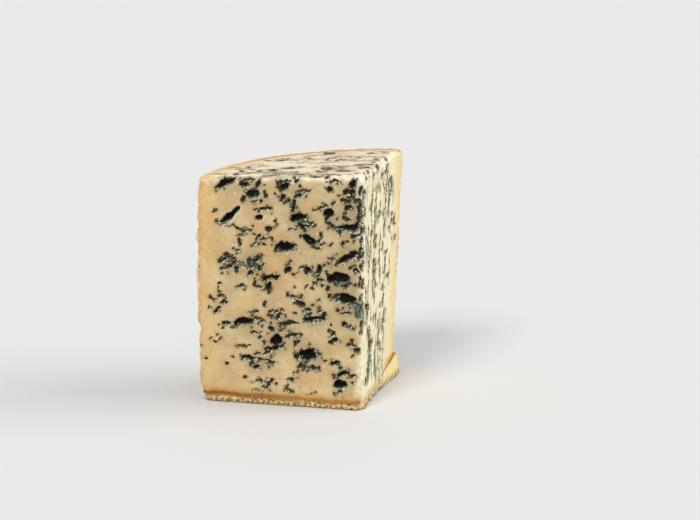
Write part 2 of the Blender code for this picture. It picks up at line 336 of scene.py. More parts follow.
# Each spot: across, height, half length, half width, tilt in degrees, depth in mm (0 is a stain only).
# On the left face across is measured in from the rind corner, on the right face out from the cutting edge.
leftSpots = [
    # upper left
    (18, 119.5, 6.0, 1.9, 35, 2.4), (13.5, 116.6, 2.2, 0.9, 20, 0.8), (24, 123.4, 4.0, 1.0, 20, 0.6),
    (28, 118.3, 2.6, 1.5, -20, 1.2), (33, 113.8, 3.2, 2.3, 10, 1.6), (35.8, 119, 2.4, 1.1, 60, 1.0),
    (31, 121.2, 3.6, 0.7, 5, 0.5), (27.5, 110.8, 1.2, 1.5, 0, 0.8), (34, 109.8, 1.2, 0.7, 0, 0.5),
    (37.2, 110.3, 0.9, 0.8, 0, 0.5), (39.8, 114, 1.0, 1.5, 10, 0.8), (44.7, 114.4, 0.7, 0.6, 0, 0.4),
    (16.6, 96.9, 2.0, 0.5, 15, 0.3), (13, 98.2, 1.0, 0.7, 0, 0.3),
    (38.2, 105.6, 2.8, 1.0, 12, 1.0), (42, 106.2, 1.6, 0.6, 0, 0.5),
    (45, 100.3, 0.9, 0.7, 0, 0.4), (46.2, 98.2, 0.7, 0.8, 0, 0.4), (41.5, 95.4, 1.7, 1.0, -45, 0.8),
    (23.5, 95.6, 2.6, 0.7, -38, 0.8), (27.6, 93.4, 1.6, 0.8, 5, 0.9), (30.4, 94.4, 1.5, 0.6, 25, 0.6),
    (26, 91.3, 1.4, 0.5, -10, 0.4), (25.5, 87.6, 0.8, 1.9, 5, 0.6), (35.2, 90.4, 2.0, 0.6, 55, 0.6),
    (34, 87.8, 1.3, 0.6, 10, 0.4), (38.5, 89.8, 2.0, 0.6, 5, 0.3), (43.3, 90.3, 0.7, 0.6, 0, 0.3),
    (38.8, 86.8, 0.6, 0.6, 0, 0.3), (32.3, 85.5, 0.6, 0.7, 0, 0.3), (11.5, 104, 1.0, 0.6, 0, 0.4),
    # upper middle and right
    (50, 118.6, 2.5, 2.2, 0, 2.0), (50.4, 121.4, 2.8, 0.8, 10, 0.8), (47, 119.4, 0.8, 1.6, 20, 0.8),
    (57, 121.7, 1.2, 0.9, 0, 0.6), (60, 116.6, 3.8, 0.7, 8, 0.8), (57.2, 113.8, 2.4, 0.9, 30, 1.2),
    (49, 112.5, 1.4, 1.9, 0, 1.0), (52, 111, 1.3, 1.1, 0, 0.8), (55, 110.3, 1.3, 1.6, 10, 1.0),
    (55.4, 107.6, 1.2, 1.6, 0, 1.2), (57, 102.3, 3.4, 2.6, 0, 3.0), (60.8, 103.2, 2.0, 0.8, 15, 1.0),
    (60.6, 100.2, 2.0, 0.8, -10, 1.0), (59.6, 97.9, 2.7, 1.1, -50, 1.4), (62.8, 98.3, 2.2, 0.6, 20, 0.8),
    (65, 100, 0.9, 0.7, 0, 0.4), (66.2, 98.7, 0.8, 0.6, 0, 0.4), (55.5, 96, 0.8, 0.6, 0, 0.3),
    (53.2, 95.7, 0.7, 0.6, 0, 0.3), (63.5, 90.6, 4.0, 1.8, -40, 2.6), (67.2, 86.9, 2.2, 0.9, -15, 1.2),
    (68.6, 90.2, 1.2, 0.7, 10, 0.8), (70.3, 93.5, 0.8, 1.6, 0, 0.8), (71.8, 89.4, 0.8, 0.6, 0, 0.4),
    (75.2, 88.9, 0.9, 0.7, 0, 0.5), (75, 118.4, 1.5, 1.4, 0, 1.2), (77, 122.6, 3.2, 0.6, 5, 0.5),
    (84, 117.2, 1.8, 1.5, 0, 1.2), (80, 114.6, 0.9, 0.7, 0, 0.4), (83.4, 112.4, 2.2, 0.8, -25, 0.8),
    (87.4, 121.2, 1.6, 2.2, 0, 1.4), (86.9, 117, 1.8, 1.4, 0, 1.2), (86.5, 114.4, 2.0, 0.9, -10, 1.0),
    (90.2, 113, 2.2, 1.4, 0, 1.2), (91, 108.6, 1.0, 3.2, 0, 1.0), (90.6, 104.2, 1.3, 2.6, 0, 1.0),
    (77.3, 111, 1.2, 0.8, 0, 0.5), (69.8, 108.4, 1.7, 0.6, 10, 0.6), (72.6, 109.8, 1.0, 0.5, 0, 0.4),
    (85.2, 109, 1.9, 1.4, 30, 1.2), (74.5, 105.5, 2.6, 2.3, 0, 2.4), (73.6, 102.6, 1.0, 1.8, 10, 1.0),
    (83.5, 103.3, 2.2, 0.8, -40, 0.8), (75.4, 99.4, 2.2, 0.8, -35, 1.0), (79.5, 98, 2.8, 0.9, 0, 1.2),
    (86.4, 98.2, 4.6, 2.1, 5, 2.2), (90.4, 99.6, 1.8, 2.6, 0, 1.4), (80.5, 95.8, 1.2, 1.9, 10, 1.2),
    (88.4, 94.2, 2.0, 1.2, 15, 1.2), (82.2, 89.6, 1.0, 1.4, 0, 0.7), (84.8, 90.8, 0.8, 0.6, 0, 0.4),
    # middle left
    (15.6, 77.4, 2.2, 1.0, 20, 1.0), (18, 80, 1.6, 0.8, 0, 0.8), (20.2, 78.6, 2.4, 1.0, -20, 1.0),
    (22.4, 76.2, 1.3, 1.6, 0, 0.8), (16, 72.2, 1.5, 0.7, 0, 0.6), (19.3, 74, 2.2, 0.8, 15, 0.7),
    (23.6, 72.6, 1.2, 2.1, 0, 1.2), (25, 82.8, 1.6, 0.7, 0, 0.8), (27.5, 74.5, 1.3, 0.9, 20, 0.8),
    (31, 77.2, 1.4, 1.8, 30, 0.8), (33.8, 78, 2.3, 1.2, 40, 1.0), (35.8, 80.2, 1.6, 0.8, 0, 0.7),
    (31, 74, 1.7, 0.9, 10, 0.8), (33.4, 75.4, 1.4, 1.1, 0, 0.8), (36.2, 74, 1.7, 0.9, -25, 0.8),
    (31, 70.7, 1.6, 1.1, 30, 1.0), (42, 69.5, 4.6, 1.3, 5, 2.0), (38.4, 68.2, 1.6, 0.9, 30, 0.8),
    (33.6, 66.6, 0.9, 1.9, 10, 0.8), (36, 63.6, 2.2, 0.8, -15, 0.8), (41.2, 64.4, 1.8, 1.9, 0, 1.6),
    (41.2, 61.4, 1.0, 1.4, 0, 0.7), (14, 64.2, 1.2, 0.9, 0, 0.6), (13.6, 62, 0.7, 0.7, 0, 0.4),
    (24.5, 63.2, 1.8, 0.7, 15, 0.4), (26.6, 64.2, 1.1, 0.6, 0, 0.3), (9.6, 56.4, 2.2, 0.8, -25, 0.9),
    (15, 57.8, 1.6, 0.8, 0, 0.7), (16.4, 54.4, 1.5, 0.9, 0, 0.7), (38.8, 54.5, 0.9, 1.6, 0, 0.7),
    (12.5, 50, 2.4, 1.0, 40, 1.2), (33, 50.5, 2.0, 0.6, 10, 0.3), (27, 44.2, 4.6, 2.1, 10, 2.8),
    (34.6, 46.5, 2.7, 0.9, 5, 1.0), (37.8, 45.3, 1.4, 0.8, 0, 0.7), (17.6, 43.2, 2.3, 1.0, -10, 1.0),
    (21, 41.4, 1.2, 0.6, -20, 0.5), (42.2, 48.4, 2.2, 0.8, -25, 0.9), (46.6, 49, 1.6, 1.2, 30, 1.0),
    (44, 51.2, 2.4, 0.7, 5, 0.8),
    # middle right
    (50, 86, 4.6, 2.7, 5, 3.4), (46, 84.6, 1.6, 1.0, 20, 1.0), (54.8, 87, 1.5, 1.0, 0, 0.8),
    (53, 78.5, 1.0, 0.7, 0, 0.5), (51.7, 73.6, 1.7, 1.7, 0, 1.4), (54.8, 71.4, 1.0, 0.8, 0, 0.5),
    (59.3, 75.4, 1.6, 0.8, 0, 0.7), (62.8, 74.2, 2.2, 1.7, -20, 2.0), (66.4, 73, 1.6, 0.9, 0, 0.8),
    (69.2, 75.2, 1.4, 2.4, 0, 2.0), (68.6, 71.8, 1.3, 1.1, 0, 0.8), (70.2, 69.2, 1.9, 0.7, 0, 0.6),
    (76, 81.2, 1.3, 0.9, 0, 0.6), (74.6, 78.6, 1.2, 0.8, -30, 0.6), (84.4, 81.8, 5.0, 1.7, 25, 2.2),
    (88, 84.6, 2.0, 1.8, 0, 1.6), (80.4, 79.4, 2.4, 0.8, 0, 0.8), (91.2, 83, 1.2, 1.4, 0, 0.8),
    (89.5, 75.4, 1.7, 0.9, -20, 0.8), (87, 77.2, 1.0, 0.7, 0, 0.5), (79.5, 70.8, 5.6, 2.8, 0, 3.0),
    (74.2, 72.5, 1.6, 0.9, -30, 1.0), (84.6, 67.8, 2.2, 1.2, 0, 1.2), (79.6, 67.2, 2.2, 0.8, -5, 0.7),
    (91.4, 69.6, 1.1, 2.6, 0, 1.0), (74, 65, 0.9, 1.4, 0, 0.6), (70.8, 66.3, 0.7, 0.6, 0, 0.3),
    (65.8, 67.6, 0.6, 0.6, 0, 0.3), (65.1, 64.3, 0.8, 0.6, 0, 0.3), (62.2, 65.2, 0.7, 0.7, 0, 0.3),
    (55.6, 65, 0.6, 0.6, 0, 0.3), (74.8, 61.8, 0.8, 0.7, 0, 0.4), (84, 59.8, 4.7, 2.5, -15, 2.6),
    (78.4, 61.2, 1.7, 1.2, 20, 1.0), (79.4, 58.8, 1.5, 0.9, 0, 0.8), (88.6, 57.6, 1.6, 1.0, 0, 0.9),
    (54.6, 59.5, 3.6, 0.8, -8, 0.9), (51.7, 61.3, 1.0, 0.7, -30, 0.6), (58.8, 60.2, 1.2, 0.8, 0, 0.6),
    (58.8, 56, 2.3, 1.5, -20, 1.3), (63, 53.5, 1.8, 0.8, -10, 0.6), (69.3, 52.6, 1.2, 0.6, 0, 0.5),
    (68.7, 54.6, 0.7, 0.6, 0, 0.3), (68.9, 58.3, 0.7, 0.6, 0, 0.3), (55.5, 50.5, 0.7, 0.6, 0, 0.3),
    (79.2, 53.8, 0.8, 0.7, 0, 0.4), (83.5, 52.6, 2.6, 0.7, 5, 0.4), (91, 53.6, 2.6, 3.6, 0, 0.8),
    (83, 46.4, 1.5, 1.5, 0, 1.2), (86.4, 44.7, 2.2, 0.7, -15, 0.7), (63.5, 47.5, 2.8, 1.7, 0, 1.6),
    (68.2, 48.4, 3.7, 1.2, 5, 2.0), (72, 50, 1.0, 1.8, 0, 1.2), (63.5, 51, 1.4, 0.8, 0, 0.7),
    (52, 45, 4.8, 1.2, 8, 1.2), (49, 43.6, 1.6, 0.8, 0, 0.6), (75.5, 45.4, 0.6, 0.6, 0, 0.3),
    # lower left
    (12.2, 36.7, 0.8, 0.7, 0, 0.4), (11.8, 33, 1.4, 0.5, 0, 0.2), (2.6, 29.5, 1.0, 0.9, 0, 0.6),
    (26, 31, 2.8, 0.5, 0, 0.7), (33, 38.6, 1.6, 0.8, 0, 0.8), (36.2, 36.3, 0.8, 0.7, 0, 0.5),
    (39, 33.8, 1.0, 0.8, 0, 0.5), (42.6, 41.4, 1.6, 1.1, -50, 1.0), (35.2, 28.3, 1.2, 0.5, 0, 0.5),
    (45.3, 35.2, 3.0, 2.9, 0, 3.0), (44, 31, 4.8, 1.2, 10, 1.6), (40.3, 28.4, 1.8, 1.0, 20, 1.0),
    (48.4, 32.4, 1.4, 0.9, 0, 0.8), (29.6, 25, 3.4, 1.2, -10, 2.0), (37, 24.4, 4.6, 0.8, 0, 1.2),
    (34.4, 20.3, 2.5, 1.4, 0, 2.2), (42.2, 23, 1.7, 1.1, 0, 1.0), (31.4, 22, 1.1, 1.3, -30, 0.9),
    (27.7, 14.3, 1.0, 0.9, 0, 0.5), (21, 25, 0.7, 0.5, 0, 0.3), (17.8, 21.2, 0.8, 0.5, 0, 0.3),
    (6, 23.3, 0.6, 0.6, 0, 0.3), (36.6, 12.7, 2.3, 0.8, -15, 1.1), (40.5, 10.7, 1.0, 1.3, 20, 1.0),
    (42.4, 12.7, 1.8, 0.7, 35, 1.0), (38.8, 8.8, 1.6, 0.6, -20, 0.7), (34.6, 7.1, 1.4, 0.6, -10, 0.8),
    # lower right
    (54, 38.5, 3.4, 0.9, 12, 1.0), (59.2, 38.8, 1.0, 0.7, 0, 0.6), (47.5, 40.5, 1.0, 0.7, 0, 0.5),
    (57, 34.7, 1.4, 1.1, 0, 0.9), (62.5, 28.3, 4.4, 2.9, 0, 3.2), (64.6, 31.4, 1.8, 1.2, 0, 1.2),
    (68.4, 29, 2.0, 0.7, 10, 0.8), (57, 27.4, 1.4, 1.4, 0, 1.0), (58.2, 22, 1.3, 1.2, 0, 1.0),
    (61.4, 21.2, 1.4, 0.8, 0, 0.8), (66.4, 21.6, 2.4, 1.3, -15, 1.2), (62, 24.6, 1.4, 1.0, 0, 0.8),
    (74.7, 42.3, 1.1, 0.8, 0, 0.6), (76.4, 40.8, 1.2, 1.4, 0, 0.8), (76.8, 36.8, 2.2, 1.4, 20, 1.2),
    (87, 37.3, 0.9, 1.0, 0, 0.7), (86.5, 35.2, 2.9, 0.8, -5, 1.6), (89.3, 32.4, 2.0, 1.3, 0, 1.0),
    (77.8, 25, 2.6, 1.2, 5, 1.4), (80.4, 22.6, 1.2, 1.0, -40, 0.8), (82, 19.3, 2.8, 1.4, 10, 1.8),
    (87.6, 18.4, 1.6, 0.8, 0, 0.7), (77.6, 18.8, 0.8, 0.7, 0, 0.4), (80.5, 13.4, 3.3, 2.4, 0, 2.8),
    (80, 9.6, 1.1, 1.2, 0, 0.7), (53.8, 14.4, 1.4, 1.1, 0, 0.9), (55, 18, 0.9, 0.7, 0, 0.5),
    (53.6, 8, 2.2, 0.7, -50, 0.8), (51.2, 9.2, 1.5, 0.5, -50, 0.6), (64.5, 7.1, 1.3, 0.6, 0, 0.4),
    (77.6, 7.2, 0.7, 1.5, 0, 0.5), (82, 6.6, 0.7, 0.6, 0, 0.3), (72.2, 26, 0.7, 0.5, 0, 0.3),
]
rightSpots = [
    (3.5, 108, 5.5, 2.4, -5, 1.6), (3.5, 102.6, 6.0, 1.8, -5, 1.8), (7, 96.4, 7.0, 1.3, -10, 1.2),
    (6, 116, 5.0, 1.4, -20, 0.8), (10.5, 123, 4.0, 0.8, -12, 0.6), (20, 106, 2.0, 1.0, 0, 0.6),
    (26, 121.5, 3.0, 0.8, -8, 0.6), (36, 124.4, 6.0, 0.8, -10, 0.5), (31.5, 113.6, 2.6, 1.3, 0, 0.7),
    (37.5, 113, 2.6, 1.3, 0, 0.7), (45, 118, 4.0, 1.2, -20, 0.9), (51.5, 119, 2.6, 1.0, 0, 0.6),
    (54.5, 120.4, 4.0, 1.0, -8, 0.8), (64, 112.5, 7.0, 0.9, 3, 1.2), (66, 108.6, 5.0, 2.4, -5, 0.8),
    (62, 105.6, 3.0, 1.6, -10, 0.8), (54, 111, 2.4, 1.1, 0, 0.6), (52, 105, 2.0, 1.2, 0, 0.5),
    (28.4, 103, 2.0, 1.2, 0, 0.6), (31.4, 108.4, 2.0, 0.8, 0, 0.5), (40, 98.8, 6.0, 1.1, 5, 0.8),
    (36.4, 96, 2.6, 1.6, 0, 0.8), (50.5, 97, 2.6, 2.0, 0, 0.9), (61, 97, 2.9, 3.8, 5, 2.2),
    (23, 92, 2.4, 1.2, 5, 0.7), (53, 91, 2.0, 1.7, 0, 0.7), (70, 93, 4.0, 0.8, -10, 0.6),
    (70, 89.2, 4.0, 0.8, -6, 0.6), (77, 88, 3.6, 1.2, -5, 0.8), (64, 86, 3.0, 1.0, 0, 0.6),
    (52, 86, 2.0, 1.4, 0, 0.6), (33, 86.5, 4.0, 1.4, 0, 0.9), (34.2, 82.2, 2.3, 1.2, 0, 0.7),
    (28, 85.4, 2.0, 1.0, 0, 0.6), (18.2, 81, 4.0, 1.1, 20, 0.9), (17.6, 76.4, 4.0, 2.4, -15, 1.8),
    (50, 79.6, 3.0, 1.0, -10, 0.7), (73, 79, 3.6, 0.8, -5, 0.5), (80, 78, 3.0, 0.9, -12, 0.7),
    (4, 80, 3.6, 0.8, -5, 0.6), (3.5, 83.6, 4.0, 0.8, -8, 0.6), (31.4, 71.4, 4.6, 3.4, 0, 2.2),
    (31, 65, 4.0, 1.4, -12, 0.9), (41, 72.5, 2.1, 1.4, 0, 0.8), (57, 72, 2.4, 1.7, 0, 0.8),
    (46, 66.5, 2.4, 1.4, 0, 0.7), (56, 66, 3.0, 1.3, 0, 0.7), (34, 61.4, 4.0, 0.9, -8, 0.7),
    (63, 60, 6.0, 0.8, -4, 0.5), (10, 61, 3.0, 1.6, -10, 0.8), (14, 53.4, 11.0, 1.5, -16, 1.6),
    (32, 55, 1.6, 2.6, 0, 0.8), (52, 56, 4.0, 0.9, -15, 0.6), (3, 54, 5.0, 2.6, -5, 0.9),
    (4, 45.6, 5.0, 2.0, -8, 0.9), (15, 48, 3.0, 0.9, 0, 0.5), (23, 45, 2.0, 1.0, 0, 0.6),
    (32, 43, 3.0, 1.3, -10, 0.7), (48, 46.6, 3.4, 0.8, -8, 0.5), (56, 36, 4.4, 1.4, 0, 0.8),
    (16, 38.6, 5.0, 1.5, -5, 1.2), (20, 34, 3.0, 3.2, 0, 1.6), (23.5, 27.6, 7.0, 1.6, -18, 2.0),
    (25, 22.2, 5.0, 1.2, -10, 0.9), (28, 31, 5.0, 0.9, 3, 1.0), (16, 17.6, 3.0, 1.2, 10, 0.7),
    (10, 13.4, 4.4, 1.5, -8, 0.8), (43, 38, 3.0, 1.3, -20, 0.7), (46, 35, 3.0, 0.9, -15, 0.6),
    (54, 32.6, 4.4, 1.2, 10, 0.9), (58, 40.2, 3.4, 1.0, -3, 0.6), (42, 27, 3.0, 1.0, 0, 0.6),
    (49, 24.6, 3.0, 1.0, -15, 0.6), (53, 21, 4.0, 0.9, -5, 0.5), (45, 14.6, 2.0, 1.8, 0, 0.7),
    (39.6, 11, 2.2, 3.2, 0, 1.2), (55, 48, 2.4, 3.6, -15, 1.4),
]
# mould that wraps over the cutting edge on to the right face
edgeSpots = [
    (2, 118, 3.0, 2.0, 60, 1.0), (5, 113.5, 3.4, 2.2, 80, 1.2), (3, 109, 4.2, 2.6, 70, 1.4), (8, 105.5, 3.0, 1.4, 90, 0.9),
    (4, 102, 5.0, 2.2, 20, 2.2), (3, 96.6, 3.0, 2.0, 60, 1.4), (2.5, 91, 2.8, 1.3, 85, 0.9), (2, 85, 3.0, 1.2, 90, 0.8),
    (2.5, 77.5, 2.6, 1.4, 80, 0.9), (3, 68, 3.2, 1.6, 90, 1.0), (2, 61, 2.4, 1.2, 80, 0.8), (3, 43.5, 2.6, 1.2, 90, 0.6),
    (21, 36, 4.6, 3.0, 80, 1.6), (23, 29, 4.0, 2.8, 90, 1.6), (20, 22, 4.0, 2.2, 90, 1.2), (17, 16, 3.4, 2.2, 80, 1.0),
    (37, 24, 7.0, 1.1, 86, 0.8), (35, 15, 4.6, 1.3, 96, 0.8),
]
topSpots = [
    (-57.5, 42.5, 6.0, 1.7, 52, 1.8), (-51.5, 49.5, 5.0, 1.8, 58, 1.4), (-45, 54.6, 5.0, 1.2, 60, 0.8),
    (-38.5, 59, 5.0, 1.4, 66, 0.4), (-32, 52, 4.4, 1.0, 66, 0.5), (-43, 37, 5.0, 3.6, 40, 0.4),
    (-35, 31.5, 3.4, 1.6, 50, 0.7), (-26, 47.4, 4.0, 2.6, 20, 0.4), (-16, 49, 5.0, 3.4, 20, 0.5),
    (-20, 34, 3.0, 1.4, 66, 0.6), (-9, 47, 3.0, 1.6, 10, 0.4), (-2, 32, 8.0, 3.2, 66, 0.6),
    (2, 21, 5.0, 3.6, 60, 0.8), (6, 30, 4.0, 1.6, 66, 0.6), (-9, 26, 3.6, 3.0, 40, 0.3),
    (-6, 73, 4.4, 3.0, 30, 0.4), (-13, 75.6, 3.0, 1.6, 40, 0.3), (6, 66, 2.6, 1.0, 62, 0.6),
    (7.5, 71, 1.8, 0.9, 62, 0.7), (17, 31, 4.0, 1.5, 66, 0.9), (15, 22, 4.0, 3.0, 50, 0.4),
    (22, 28, 3.4, 1.6, 60, 0.6), (27, 33, 4.4, 1.0, 66, 0.7), (16, 51, 4.0, 1.8, 40, 0.3),
    (29, 52, 5.0, 1.2, 66, 0.8), (12, 55, 3.0, 1.0, 60, 0.5), (40, 57, 3.4, 1.6, 60, 0.4),
    (40, 41, 4.0, 1.2, 60, 0.7), (24, 74, 6.0, 2.4, 20, 0.2), (48, 56, 3.0, 1.4, 40, 0.6),
    (33, 40, 5.0, 1.0, 60, 0.7), (12, 12.5, 4.0, 1.2, 62, 0.7), (20, 18.5, 6.0, 0.9, 50, 0.7),
    (-25, 27, 4.0, 1.2, 66, 0.6), (-12, 14.5, 4.0, 1.0, 40, 0.6), (-31, 66, 3.6, 1.2, 60, 0.3),
    (26, 24, 5.0, 1.0, 48, 0.7), (37, 34.5, 4.0, 1.1, 50, 0.8), (4, 10.5, 2.6, 1.2, 40, 0.7),
]
# clean-edged holes in the left face, each with a pale lip
pockets = [
    (36.2, 101.3, 2.1, 1.7, -8, 2.8), (19.0, 100.4, 4.4, 2.1, 36, 3.2), (23.2, 104.4, 3.4, 1.5, 46, 2.8), (16.6, 98.4, 2.2, 1.3, 10, 1.6),
    (50, 86, 3.8, 2.6, 5, 3.4), (74.5, 105.5, 2.3, 2.4, 0, 2.8), (80.5, 13.4, 3.2, 2.4, 0, 3.0), (84, 59.8, 4.2, 2.1, -15, 2.8),
    (79.5, 70.8, 5.0, 2.4, 0, 3.2), (34.4, 20.3, 2.0, 1.1, 0, 2.2), (62.5, 28.3, 3.6, 2.2, 0, 3.2), (26, 44, 3.6, 1.7, 10, 2.8),
    (45.3, 35.2, 2.4, 2.5, 0, 3.0), (57, 102.3, 2.8, 2.2, 0, 3.0),
]
# soft grey-blue bloom round the mould, with the same order of values
smears = {
    "left": [(25, 122, 7, 2.5, 20, 0), (31, 118, 5, 4, 0, 0), (14, 86, 4, 1.2, 0, 0), (41.5, 57, 7, 3, 0, 0),
             (65, 97, 4, 3, -20, 0), (82, 101, 7, 8, 0, 0), (86, 110, 6, 9, 0, 0), (90, 54, 4.5, 6, 0, 0),
             (85, 66, 6, 3, 0, 0), (44, 49, 4, 3, 0, 0), (20, 76, 6, 5, 0, 0), (32, 76, 6, 5, 0, 0),
             (60, 82, 8, 2, 0, 0), (36, 22, 8, 4, 0, 0), (62, 26, 7, 5, 0, 0), (82, 20, 6, 5, 0, 0),
             (47, 46, 9, 3, 5, 0), (66, 48, 8, 4, 0, 0), (88, 36, 4, 4, 0, 0), (11, 120, 3, 1.2, 0, 0)],
    "right": [(8, 116, 9, 5, -20, 0), (66, 108, 7, 5, -5, 0), (37, 116, 10, 4, 0, 0), (56, 39, 12, 5, 0, 0),
              (32, 70, 6, 7, 0, 0), (21, 30, 9, 9, -10, 0), (5, 50, 8, 6, 0, 0), (55, 92, 8, 9, 0, 0),
              (10, 13, 6, 3, 0, 0), (47, 120, 10, 3, -10, 0), (15, 77, 8, 4, -10, 0), (41, 12, 4, 6, 0, 0)],
    "top": [(-16, 50, 12, 6, 20, 0), (0, 27, 13, 7, 60, 0), (-40, 36, 9, 6, 40, 0), (-6, 74, 8, 4, 25, 0),
            (18, 25, 9, 5, 50, 0), (27, 52, 7, 7, 60, 0), (-28, 48, 8, 4, 30, 0), (38, 46, 8, 10, 60, 0),
            (-50, 47, 10, 4, 55, 0), (-22, 30, 8, 5, 60, 0), (22, 73, 9, 4, 20, 0)],
}

# greener, furrier patches round the cutting edge
tealPatches = {
    "left": [(90.5, 53.5, 4.2, 4.4, 0, 0)],
    "right": [(4.5, 52, 5, 4.5, 0, 0), (21, 31, 4.5, 12, -4, 0), (17, 15, 4, 6, -10, 0), (36, 19, 2.2, 9, 0, 0)],
    "top": [],
}

mouldLook = {
    "seed": 7,
    "raggedness": 0.9,       # how far the outline of a spot wanders, mm
    "grow": {"left": 1.13, "right": 1.05, "top": 1.0}, "growBy": 0.12,
    "crowdReach": 5.0,
    "satellites": 2,         # small dots beside each larger spot
    "fineMesh": 0.6, "edgeMesh": 0.85, "nearMesh": 1.0, "crustMesh": 1.05,    # edge lengths, mm
    "lip": 0.16,             # raised lip of paste round a hollow, mm
}
rindLook = {"relief": 0.4, "pits": 0.65, "cornerBand": 3.0}


def withSatellites(spots, random, grow):
    by = mouldLook["growBy"]
    spots = [(u, v, a * grow + by, b * grow + by, tilt, depth) for u, v, a, b, tilt, depth in spots]
    more = []
    for u, v, a, b, tilt, depth in spots:
        if a < 1.5:
            continue
        for _ in range(mouldLook["satellites"]):
            turn = random.uniform(0, 2 * math.pi)
            away = a + random.uniform(0.5, 2.0)
            size = random.uniform(0.35, 0.65)
            more.append((u + away * math.cos(turn), v + (b + away - a) * math.sin(turn), size * random.uniform(1, 1.8),
                         size, random.uniform(-60, 60), 0.3))
    return spots + more


# signed distance to the nearest spot's outline (positive inside) and the depth there
def spotField(u, v, spots):
    near, depth = np.full(len(u), -9.0), np.zeros(len(u))
    for cu, cv, a, b, tilt, deep in spots:
        here = np.flatnonzero((np.abs(u - cu) < a + 3) & (np.abs(v - cv) < a + 3))
        c, s = math.cos(math.radians(tilt)), math.sin(math.radians(tilt))
        du, dv = u[here] - cu, v[here] - cv
        x, y = (du * c + dv * s) / a, (dv * c - du * s) / b
        r = np.maximum(np.hypot(x, y), 0.05)
        slope = np.maximum(np.hypot(x / a, y / b) / r, 1e-3)
        inside = np.minimum((1 - r) / slope, b)
        near[here] = np.maximum(near[here], inside)
        depth[here] = np.maximum(depth[here], deep * ease(-0.15, 0.85 * min(b, 1.3), inside))
    return near, depth


# how crowded the spots are, 0 to about 1, smoothed over several millimetres
def crowding(points, shares):
    amount = np.zeros(len(points))
    for side, (u, v) in facePlaces(points).items():
        total = np.zeros(len(points))
        for cu, cv, a, b, *_ in {"left": leftSpots, "right": rightSpots, "top": topSpots}[side]:
            total += a * b * np.exp(-((u - cu) ** 2 + (v - cv) ** 2) / (2 * mouldLook["crowdReach"] ** 2))
        amount += total / 12 * shares[side]
    return np.clip(amount, 0, 1.5)


random = np.random.RandomState(mouldLook["seed"])
allSpots = {side: withSatellites(spots, random, mouldLook["grow"][side])
            for side, spots in (("left", leftSpots), ("right", rightSpots), ("top", topSpots))}
allSpots["top"] = [(u, v, a * 0.66, b * 1.15, tilt, depth) for u, v, a, b, tilt, depth in allSpots["top"]]
allSpots["right"] = [(u, v, a * 0.48, b * 1.4, tilt * 0.6, depth) for u, v, a, b, tilt, depth in allSpots["right"]]


# thin streaks that the knife dragged out: on the top along its stroke, on the right face downwards
def streaks(count, uRange, vRange, tilt, long, thick, random, wanted):
    made = []
    while len(made) < count:
        u, v = random.uniform(*uRange), random.uniform(*vRange)
        turn, a, b = random.uniform(-14, 14), random.uniform(*long), random.uniform(*thick)
        if wanted(u, v):
            made.append((u, v, a, b, tilt + turn, 0.25))
    return made


def onTop(x, y):
    return 8 < math.hypot(x, y) < 82 and abs(x) < y * 0.9 and x > -46


def behindFront(x, y):
    behind = -(complex(x, y) * out["left"].conjugate()).real
    return 1.2 < behind < 9 and 8 < math.hypot(x, y) < 80


allSpots["top"] += streaks(56, (-46, 62), (4, 82), -30, (2, 6.5), (0.3, 0.6), random, onTop)
allSpots["top"] += streaks(18, (-60, 0), (4, 62), -42, (2.5, 6), (0.35, 0.7), random, behindFront)
allSpots["right"] += streaks(44, (4, 74), (8, 122), 90, (2, 9), (0.35, 0.7), random, lambda u, v: u < 60 or v > 60)
allSpots["right"] += edgeSpots


# where a point lies on each cut face and on the top
def facePlaces(points):
    flat = points[:, 0] + 1j * points[:, 1]
    return {
        "left": (92 - (flat * np.conj(along["left"])).real, points[:, 2]),
        "right": ((flat * np.conj(along["right"])).real, points[:, 2]),
        "top": (points[:, 0], points[:, 1]),
    }


def faceShares(normals):
    flat = normals[:, 0] + 1j * normals[:, 1]
    return {
        "left": ease(0.3, 0.6, (flat * np.conj(out["left"])).real),
        "right": ease(0.3, 0.6, (flat * np.conj(out["right"])).real),
        "top": ease(0.4, 0.7, normals[:, 2]),
    }


# how far a point lies behind the left face, the right face and the top
def insets(points):
    flat = points[:, 0] + 1j * points[:, 1]
    return np.column_stack([
        -(flat * np.conj(out["left"])).real,
        -(flat * np.conj(out["right"])).real + lean(np.abs(flat), points[:, 2]),
        topHeight(points[:, 0], points[:, 1]) - points[:, 2],
    ])


# a cheap guess of the face from the place alone, used before normals are known
def nearFaces(points):
    return dict(zip(("left", "right", "top"), ease(2.2, 1.0, insets(points)).T))


# how far the outlines of the spots stray at each point
def wander(points):
    return (drift(points, 3.2, 11) + 0.8 * drift(points, 1.6, 12) + 0.4 * drift(points, 0.8, 13)) * mouldLook["raggedness"]


def pocketField(points, shares, strayed):
    u, v = facePlaces(points + 0.35 * strayed)["left"]
    near, depth = spotField(u, v, pockets)
    return near - (1 - shares["left"]) * 9, depth * shares["left"]


def mouldField(points, shares, strayed=None):
    strayed = wander(points) if strayed is None else strayed
    places = facePlaces(points + strayed)
    near, depth = np.full(len(points), -9.0), np.zeros(len(points))
    for side, (u, v) in places.items():
        here = np.flatnonzero(shares[side] > 0.02)
        s, d = spotField(u[here], v[here], allSpots[side])
        near[here] = np.maximum(near[here], s - (1 - shares[side][here]) * 2)
        depth[here] = np.maximum(depth[here], d * shares[side][here])
    pocketNear, pocketDepth = pocketField(points, shares, strayed)
    return np.maximum(near, pocketNear), np.maximum(depth, pocketDepth)


